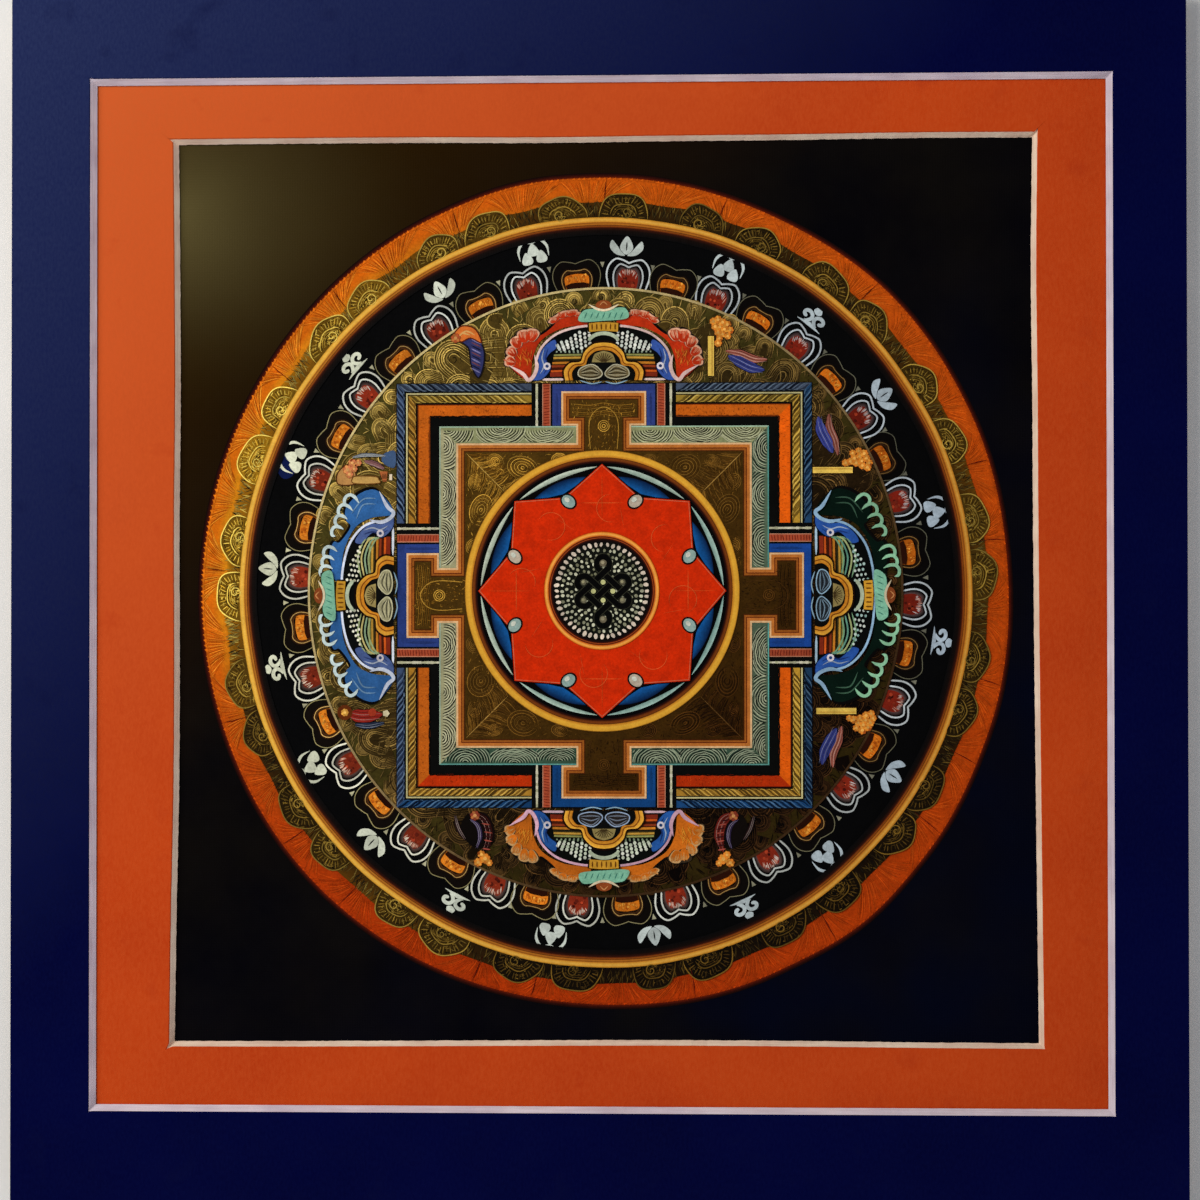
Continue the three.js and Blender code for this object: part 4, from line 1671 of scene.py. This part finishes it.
def feather(paint, placed):
    blade = blob([(24.6, 1.2), (23.4, 4.6), (23.8, 8.2), (26.6, 10.6), (28.8, 9.4), (26.8, 7.6),
                  (26.2, 3.8)], 6)
    paint.fill(placed(blade), (56, 60, 112), 7)
    paint.stroke(placed(blade), 0.3, (18, 16, 26), 7.5, closed=True)
    for n in range(10):
        v = 2.2 + 0.7 * n
        tone = ((128, 124, 170), (26, 26, 52), (120, 70, 80))[n % 3]
        paint.stroke(placed([(24.2 - 0.03 * n, v), (26.2, v + 1.1)]), 0.3, tone, 8, ends=0.3)
    knob = blob([(24.0, 8.8), (25.4, 11.8), (28.4, 12.4), (30.2, 10.0), (28.4, 9.0), (26.4, 9.8)], 6)
    paint.fill(placed(knob), (206, 108, 44), 8)
    paint.stroke(placed(knob), 0.28, (90, 32, 14), 8.5, closed=True)
    for shift in (0, 0.9):
        gleam = smooth([(25.4 + shift, 10.4), (27.2 + shift, 11.3 - shift / 2), (28.9, 10.4 - shift / 2)], 5)
        paint.stroke(placed(gleam), 0.36, (240, 180, 104), 9, ends=0.3)
    flower(paint, placed([(29.6, 9.8)])[0], 1.1, (170, 80, 44), 9)


def cloth_roll(paint, placed):
    leaf(paint, placed(smooth([(28.0, 9.0), (28.3, 6.0), (27.6, 2.6)], 6)), 1.2, (44, 56, 84))
    leaf(paint, placed(smooth([(25.6, 10.4), (26.2, 7.4), (25.8, 3.0)], 6)), 2.7, (134, 34, 26))
    paint.dot(placed([(25.4, 5.2)])[0], 0.9, (176, 60, 36), 8.5)
    paint.dot(placed([(25.6, 2.2)])[0], 0.8, (222, 210, 170), 8.5, sides=5)
    paint.dot(placed([(25.4, 11.2)])[0], 1.7, (110, 50, 16), 8)
    paint.dot(placed([(25.4, 11.2)])[0], 1.45, (214, 138, 40), 8.5)
    flower(paint, placed([(25.4, 11.2)])[0], 0.9, (234, 168, 70), 9)


def scarf(paint, placed):
    """A folded scarf curved round a dark hollow, with a flower at each end."""
    hollow = blob([(27.2, 1.2), (25.6, 4.6), (26.4, 8.6), (29.2, 7.8), (31.2, 4.6), (29.8, 1.4)], 6)
    paint.fill(placed(hollow), (14, 9, 7), 7)
    leaf(paint, placed(smooth([(28.8, 0.9), (26.0, 2.4), (24.9, 5.8), (25.8, 9.4)], 7)), 2.1, (104, 30, 22))
    for bar in range(8):
        u, v = 25.6 - 0.5 * math.sin(bar / 2.4) + 0.28 * max(0, 2 - bar), 2.4 + 0.9 * bar
        tone = (168, 76, 62) if bar % 2 else (52, 16, 18)
        paint.stroke(placed([(u - 0.9, v + 0.3), (u + 0.9, v)]), 0.3, tone, 8.2, ends=0.3)
    leaf(paint, placed(smooth([(29.0, 2.4), (27.4, 3.8), (26.9, 6.2), (27.6, 8.6)], 6)), 0.9, (66, 50, 92))
    leaf(paint, placed(smooth([(30.2, 6.8), (31.6, 4.4), (32.4, 1.6)], 6)), 0.8, (58, 30, 30))
    for u, v, size in ((25.8, 10.9, 1.2), (27.3, 11.7, 1.0), (26.6, 10.0, 0.9), (24.9, 11.8, 0.8)):
        flower(paint, placed([(u, v)])[0], size, FLOWER, 9)
    flower(paint, placed([(28.0, 1.6)])[0], 1.1, (150, 64, 44), 9)


BANNERS = (  # side, left or right of the canopy, what stands there, and how far it is moved
    ("top", 1, post, (-1.8, 0.6)), ("right", -1, post, (2, -0.7)), ("right", 1, post, (0, 0)),
    ("left", 1, bowl, (0, 0)), ("top", -1, feather, (2.6, 0)), ("left", -1, cloth_roll, (0, 0)),
    ("bottom", -1, scarf, (0, 0)), ("bottom", 1, scarf, (0, 0)),
)


def paint_banners(material):
    paint = Paint("paint_banners", 0.12)
    for side, sign, motif, (along, across) in BANNERS:
        motif(paint, lambda points: on_side(side, mirrored(shifted(points, along, across), sign)))
    return paint.make(material)


# The medallion in the middle of the court

MEDALLION_MIDDLE = (1.37, 2.02)
MEDALLION = 29.7
STAR_TIP = 26.9
STAR_NOTCH = 21.4
STAR_POINTS = 8
STAR_PITCH = 360 / STAR_POINTS
CRESCENT = 26.35
DISC_MIDDLE = (1.3, 2.04)
DISC = 12.4


def in_medallion(radius, degrees, middle=MEDALLION_MIDDLE):
    x, y = on_ring(radius, degrees)
    return (x - MIDDLE[0] + middle[0], y - MIDDLE[1] + middle[1])


def medallion_rings(paint, stops, coat, middle):
    """Shaded rings about the medallion's own middle, from rows of radius and colour."""
    steps = 240
    for (outer, first), (inner, second) in zip(stops, stops[1:]):
        near = [in_medallion(outer, 360 * k / steps, middle) for k in range(steps + 1)]
        far = [in_medallion(inner, 360 * k / steps, middle) for k in range(steps + 1)]
        paint.shaded(near, far, first, second, coat)


MEDALLION_STOPS = (
    (0.12, (120, 70, 16)), (-0.1, (232, 168, 52)), (-0.8, (244, 182, 60)), (-1.35, (210, 134, 36)),
    (-1.5, (64, 26, 8)), (-1.65, (126, 62, 18)), (-2.0, (116, 54, 14)), (-2.3, (48, 12, 6)), (-2.7, BLACK),
)
DISC_STOPS = (
    (0.12, (130, 40, 10)), (-0.05, (246, 140, 40)), (-0.4, (255, 182, 84)), (-0.75, (226, 110, 30)),
    (-0.95, (84, 20, 8)), (-1.12, (110, 34, 12)), (-1.2, (196, 92, 34)), (-1.3, (80, 20, 8)),
    (-1.6, (24, 8, 6)), (-2.2, BLACK),
)


def paint_medallion_rings(material):
    paint = Paint("paint_medallion_rings", 0.02)
    for radius, stops, coat, middle in (
            (MEDALLION, MEDALLION_STOPS, 11, MEDALLION_MIDDLE), (DISC, DISC_STOPS, 15, DISC_MIDDLE)):
        medallion_rings(paint, [(radius + offset, colour) for offset, colour in stops], coat, middle)
    return paint.make(material)


def star_field(paint, number):
    """A pale crescent and a blue field between two points of the star."""
    middle = (number + 0.5) * STAR_PITCH
    start = number * STAR_PITCH
    steps = 24
    shares = [n / steps for n in range(steps + 1)]
    outer, inner = [], []
    for t in shares:
        degrees = start + 2.4 + (STAR_PITCH - 4.8) * t
        thick = 0.95 * math.sin(math.pi * t) ** 0.7
        outer.append(in_medallion(CRESCENT, degrees))
        inner.append(in_medallion(CRESCENT - thick - 0.05, degrees))
    pale = mixed((150, 196, 186), (206, 220, 196), 0.5 + 0.5 * math.cos(math.radians(middle + 60)))
    paint.shaded(outer, inner, mixed(pale, WHITE, 0.25), mixed(pale, BLACK, 0.2), 12)
    rim = []
    for n in range(steps + 1):
        sag = 0.5 * (1 - math.sin(math.pi * n / steps))
        rim.append(in_medallion(24.85 - sag, start + 6.5 + (STAR_PITCH - 13) * n / steps))
    notch = in_medallion(STAR_NOTCH + 0.75, middle)
    foot = [mixed(rim[0], notch, t * 2) if t < 0.5 else mixed(notch, rim[-1], t * 2 - 1) for t in shares]
    paint.shaded(rim, foot, (10, 30, 66), (22, 92, 162), 12)


def star_pearl(paint, number):
    """A pearl in the star's notch, with faint curls on the red beside it."""
    hand = paint.hand
    centre = in_medallion(STAR_NOTCH - 1.1, (number + 0.5) * STAR_PITCH - 1.5 + 3 * (number % 2))
    lean = -(number + 0.5) * STAR_PITCH + (28 if number % 2 else -28)
    paint.dot(centre, 1.55, (16, 10, 10), 14, squash=1.28, turn=lean, sides=18)
    pearl = (150, 176, 168) if number % 3 else (196, 180, 160)
    paint.dot(centre, 1.22, pearl, 15, squash=1.3, turn=lean, sides=18)
    glint = (centre[0] - 0.3, centre[1] + 0.35)
    paint.dot(glint, 0.5, (216, 220, 204), 16, squash=1.3, turn=lean)
    faint = (226, 88, 38)
    start = hand.uniform(0, 360)
    curl = arc(in_medallion(17.6, number * STAR_PITCH + 6), 3.0, start, start + hand.uniform(170, 300), 20)
    paint.stroke(curl, 0.15, faint, 14, ends=0.2)
    ray = [in_medallion(14, number * STAR_PITCH + 20), in_medallion(18.5, number * STAR_PITCH + 12)]
    paint.stroke(ray, 0.08, faint, 14, ends=0.4)


def paint_star(material):
    """The red eight-pointed star with blue fields, pale crescents and pearls round it."""
    paint = Paint("paint_star", 0.04)
    paint.fill([in_medallion(MEDALLION - 2.5, 1.5 * k) for k in range(240)], BLACK, 10)
    star = []
    for k in range(STAR_POINTS):
        star += [in_medallion(STAR_TIP, k * STAR_PITCH), in_medallion(STAR_NOTCH, (k + 0.5) * STAR_PITCH)]
    for k in range(STAR_POINTS):
        star_field(paint, k)
    paint.fill(star, (220, 46, 6), 13)
    paint.stroke(star, 0.55, (14, 6, 6), 12.5, closed=True)
    paint.stroke([mixed(p, MEDALLION_MIDDLE, 0.012) for p in star], 0.15, (222, 122, 84), 14, closed=True)
    for k in range(STAR_POINTS):
        star_pearl(paint, k)
    for degrees in (0, 90, 180, 270):
        cross = [in_medallion(19.2, degrees - 14), in_medallion(19.2, degrees + 14)]
        paint.stroke(cross, 0.12, (224, 96, 40), 14, ends=0.2)
        ray = [in_medallion(15.5, degrees), in_medallion(25, degrees)]
        paint.stroke(ray, 0.1, (222, 84, 30), 14, ends=0.3)
    return paint.make(material)


BEAD_ROWS = (  # number, radius, length and width of the beads in each row
    (48, 9.75, 0.6, 0.4), (46, 8.6, 0.42, 0.34), (41, 7.6, 0.4, 0.34), (36, 6.65, 0.38, 0.33),
    (31, 5.7, 0.38, 0.33), (26, 4.8, 0.36, 0.32), (20, 3.9, 0.34, 0.3), (14, 3.0, 0.32, 0.28),
    (8, 2.0, 0.3, 0.28),
)


def paint_bead_disc(material):
    """The dotted disc in the middle with the endless knot on it."""
    paint = Paint("paint_bead_disc", 0.1)
    hand = paint.hand

    def placed(x, y):
        return (DISC_MIDDLE[0] + x, DISC_MIDDLE[1] + TALLER * y)

    paint.fill([in_medallion(DISC - 1.8, 3 * k, DISC_MIDDLE) for k in range(120)], (20, 22, 17), 14)
    for count, radius, long, wide in BEAD_ROWS:
        for k in range(count):
            jitter = 0.09 if radius > 9 else 0.2
            degrees = 360 * (k + 0.5 * (count % 4 > 1) + hand.uniform(-jitter, jitter)) / count
            place = in_medallion(radius + hand.uniform(-jitter, jitter), degrees, DISC_MIDDLE)
            if radius > 9:
                tone = (226, 208, 188)
            else:
                tone = mixed((96, 96, 70), (226, 226, 196), hand.random() ** 0.7)
            turn = hand.uniform(-25, 25) - degrees
            paint.dot(place, wide * hand.uniform(0.8, 1.1), tone, 15, squash=long / wide, turn=turn, sides=8)
    paint_knot(paint, placed)
    return paint.make(material)


KNOT_CELL = (2.1, 1.92)  # half the width and height of one square of the knot's lattice
KNOT_CORD = 1.2
KNOT_COAT = 16
KNOT_MIDDLE = (0.3, -0.1)


def knot_loops(paint, placed, at, lay, end):
    """The corner loop and the two side loops at one end of the knot, with pale beads in their eyes."""
    turn = smooth([at(end * 1.3, -end), at(end * 1.62, -end * 1.02), at(end * 1.95, -end * 1.35),
                   at(end * 2.02, -end * 1.75), at(end * 1.9, -end * 1.9), at(end * 1.75, -end * 2.02),
                   at(end * 1.35, -end * 1.95), at(end * 1.02, -end * 1.62), at(end, -end * 1.3)], 5)
    lay(turn, KNOT_COAT)
    for rising in (True, False):

        def loop_at(along, across):
            return at(along, across) if rising else at(across, along)

        loop = [loop_at(end * 1.4, 0), loop_at(end * 1.75, end * 0.08), loop_at(end * 1.98, end * 0.5),
                loop_at(end * 1.75, end * 0.92), loop_at(end * 1.4, end)]
        lay(smooth(loop, 6), KNOT_COAT)
        eye = placed(*loop_at(end * 1.5, end * 0.5))
        paint.dot(eye, 0.62, (112, 106, 84), KNOT_COAT + 1.8, sides=12)
        paint.dot((eye[0] - 0.1, eye[1] + 0.1), 0.34, (168, 162, 124), KNOT_COAT + 2, sides=10)
    eye = placed(*at(end * 1.55, -end * 1.55))
    paint.dot(eye, 0.78, (116, 106, 84), KNOT_COAT + 1.8, sides=12)
    paint.dot((eye[0] - 0.1, eye[1] + 0.15), 0.42, (160, 150, 120), KNOT_COAT + 2, sides=10)


def paint_knot(paint, placed):
    """The endless knot: three cords each way cross in a lattice, and six loops join their ends."""
    cord, shade, coat = (6, 6, 6), (58, 58, 44), KNOT_COAT

    def at(rising, falling):
        (x, y), (wide, tall) = KNOT_MIDDLE, KNOT_CELL
        return (x + wide * (rising + falling), y + tall * (rising - falling))

    def lay(path, level):
        path = [placed(*p) for p in path]
        paint.stroke(path, KNOT_CORD + 0.22, shade, level)
        paint.stroke(path, KNOT_CORD, cord, level + 0.3)

    for offset in (-1, 0, 1):
        lay([at(-1 - 0.45, offset), at(1 + 0.45, offset)], coat)
        lay([at(offset, -1 - 0.45), at(offset, 1 + 0.45)], coat + 0.6)
    for a, b in ((-1, -1), (0, 0), (1, 1), (-1, 1), (1, -1)):
        lay([at(a - 0.4, b), at(a + 0.4, b)], coat + 1.2)
    for end in (-1, 1):
        knot_loops(paint, placed, at, lay, end)
    for a, b in ((0.5, 0.5), (0.5, -0.5), (-0.5, 0.5), (-0.5, -0.5)):
        paint.dot(placed(*at(a, b)), 0.55, (204, 204, 140), coat + 2, sides=10)


# The floor, lights and camera

CAMERA_LENS = 85
CAMERA_DISTANCE = 0.611
CAMERA_YAW = 2.006  # degrees: the eye stands a little to the right of straight above
CAMERA_PITCH = -0.6875  # and a little towards the painting's foot
CAMERA_ROLL = -0.038
CAMERA_AIM = (0.00103, 0, 0.0046)


def make_camera():
    data = bpy.data.cameras.new("camera")
    data.lens = CAMERA_LENS
    data.sensor_width = 36
    data.clip_start, data.clip_end = 0.05, 20
    camera = bpy.data.objects.new("camera", data)
    turn = (Matrix.Rotation(math.radians(CAMERA_YAW), 4, "Y")
            @ Matrix.Rotation(math.radians(-CAMERA_PITCH), 4, "X")
            @ Matrix.Rotation(math.radians(CAMERA_ROLL), 4, "Z"))
    away = Matrix.Translation((0, 0, CAMERA_DISTANCE))
    camera.matrix_world = Matrix.Translation(CAMERA_AIM) @ turn @ away
    bpy.context.scene.collection.objects.link(camera)
    bpy.context.scene.camera = camera


def make_light(name, place, size, power, colour):
    data = bpy.data.lights.new(name, "AREA")
    data.size, data.energy, data.color = size, power, colour
    light = bpy.data.objects.new(name, data)
    light.location = place
    light.rotation_euler = (-Vector(place)).to_track_quat("-Z", "Y").to_euler()
    bpy.context.scene.collection.objects.link(light)


def make_stage():
    half = 3.0
    mesh = bpy.data.meshes.new("floor")
    corners = [(-half, -half, 0), (half, -half, 0), (half, half, 0), (-half, half, 0)]
    mesh.from_pydata(corners, [], [(0, 1, 2, 3)])
    mesh.materials.append(floor_finish())
    floor = bpy.data.objects.new("floor", mesh)
    bpy.context.scene.collection.objects.link(floor)
    make_light("key", (-0.55, 0.30, 0.55), 0.5, 5.7, (1, 0.96, 0.9))
    make_light("fill", (0.7, -0.5, 1.3), 1.2, 2, (0.86, 0.92, 1))
    make_light("edge", (1.6, -1.1, 0.28), 0.5, 10, (0.96, 0.96, 1))
    make_world()


def make_world():
    world = bpy.data.worlds.new("studio")
    world.use_nodes = True
    background = world.node_tree.nodes["Background"]
    background.inputs["Color"].default_value = (0.9, 0.94, 1, 1)
    background.inputs["Strength"].default_value = 0.2
    bpy.context.scene.world = world
    bpy.context.scene.view_settings.view_transform = "Standard"


def main():
    make_camera()
    make_cloth(cloth_finish())
    cream_core = core_finish("cream_core", (255, 230, 204), (240, 204, 180))
    white_core = core_finish("white_core", (234, 224, 234), (210, 198, 214))
    back_paper = paper_finish("back_paper", (206, 200, 188), (190, 182, 168), (170, 160, 146),
                              (150, 130, 104))
    # the orange and navy papers lighten towards the upper left: a painted glow of reflected light
    orange = paper_finish("orange_paper", (208, 72, 22), (196, 62, 18), (220, 92, 40), (184, 54, 20),
                          eased_tone=(212, 100, 48))
    navy = paper_finish("navy_paper", (1, 4, 58), (1, 3, 50), (6, 14, 70), (10, 14, 58), eased_tone=(40, 50, 92))
    make_board("inner_mount", "inner_board", [orange, cream_core, back_paper],
               nibs=((-0.7, -0.6), (0.1, -0.1), (0.1, 0.8), (-0.9, 0)), scuff=0.05)
    make_board("outer_mount", "outer_board", [navy, white_core, back_paper],
               nibs=((-0.1, -0.1), (0.1, -0.1), (0.1, 0.1), (-0.1, 0.1)), scuff=0.015)
    pigment = pigment_finish("stone_colours", 0.7, 0.14)
    # the olive wash darkens towards the lower right: painted shade
    wash = pigment_finish("olive_wash", 0.75, 0.2, painted_falloff=0.75)
    gold = gold_finish()
    for paint_subject, finish in (
            (paint_fire_ring, pigment), (paint_scroll_band, pigment), (paint_black_ring, pigment),
            (paint_gold_rings, gold), (paint_white_ornaments, pigment), (paint_lotus_petals, pigment),
            (paint_ground, wash), (paint_palace_walls, pigment), (paint_court, wash),
            (paint_gate_frames, pigment), (paint_canopies, pigment), (paint_banners, pigment),
            (paint_medallion_rings, gold), (paint_star, pigment), (paint_bead_disc, pigment)):
        paint_subject(finish)
    make_stage()


main()
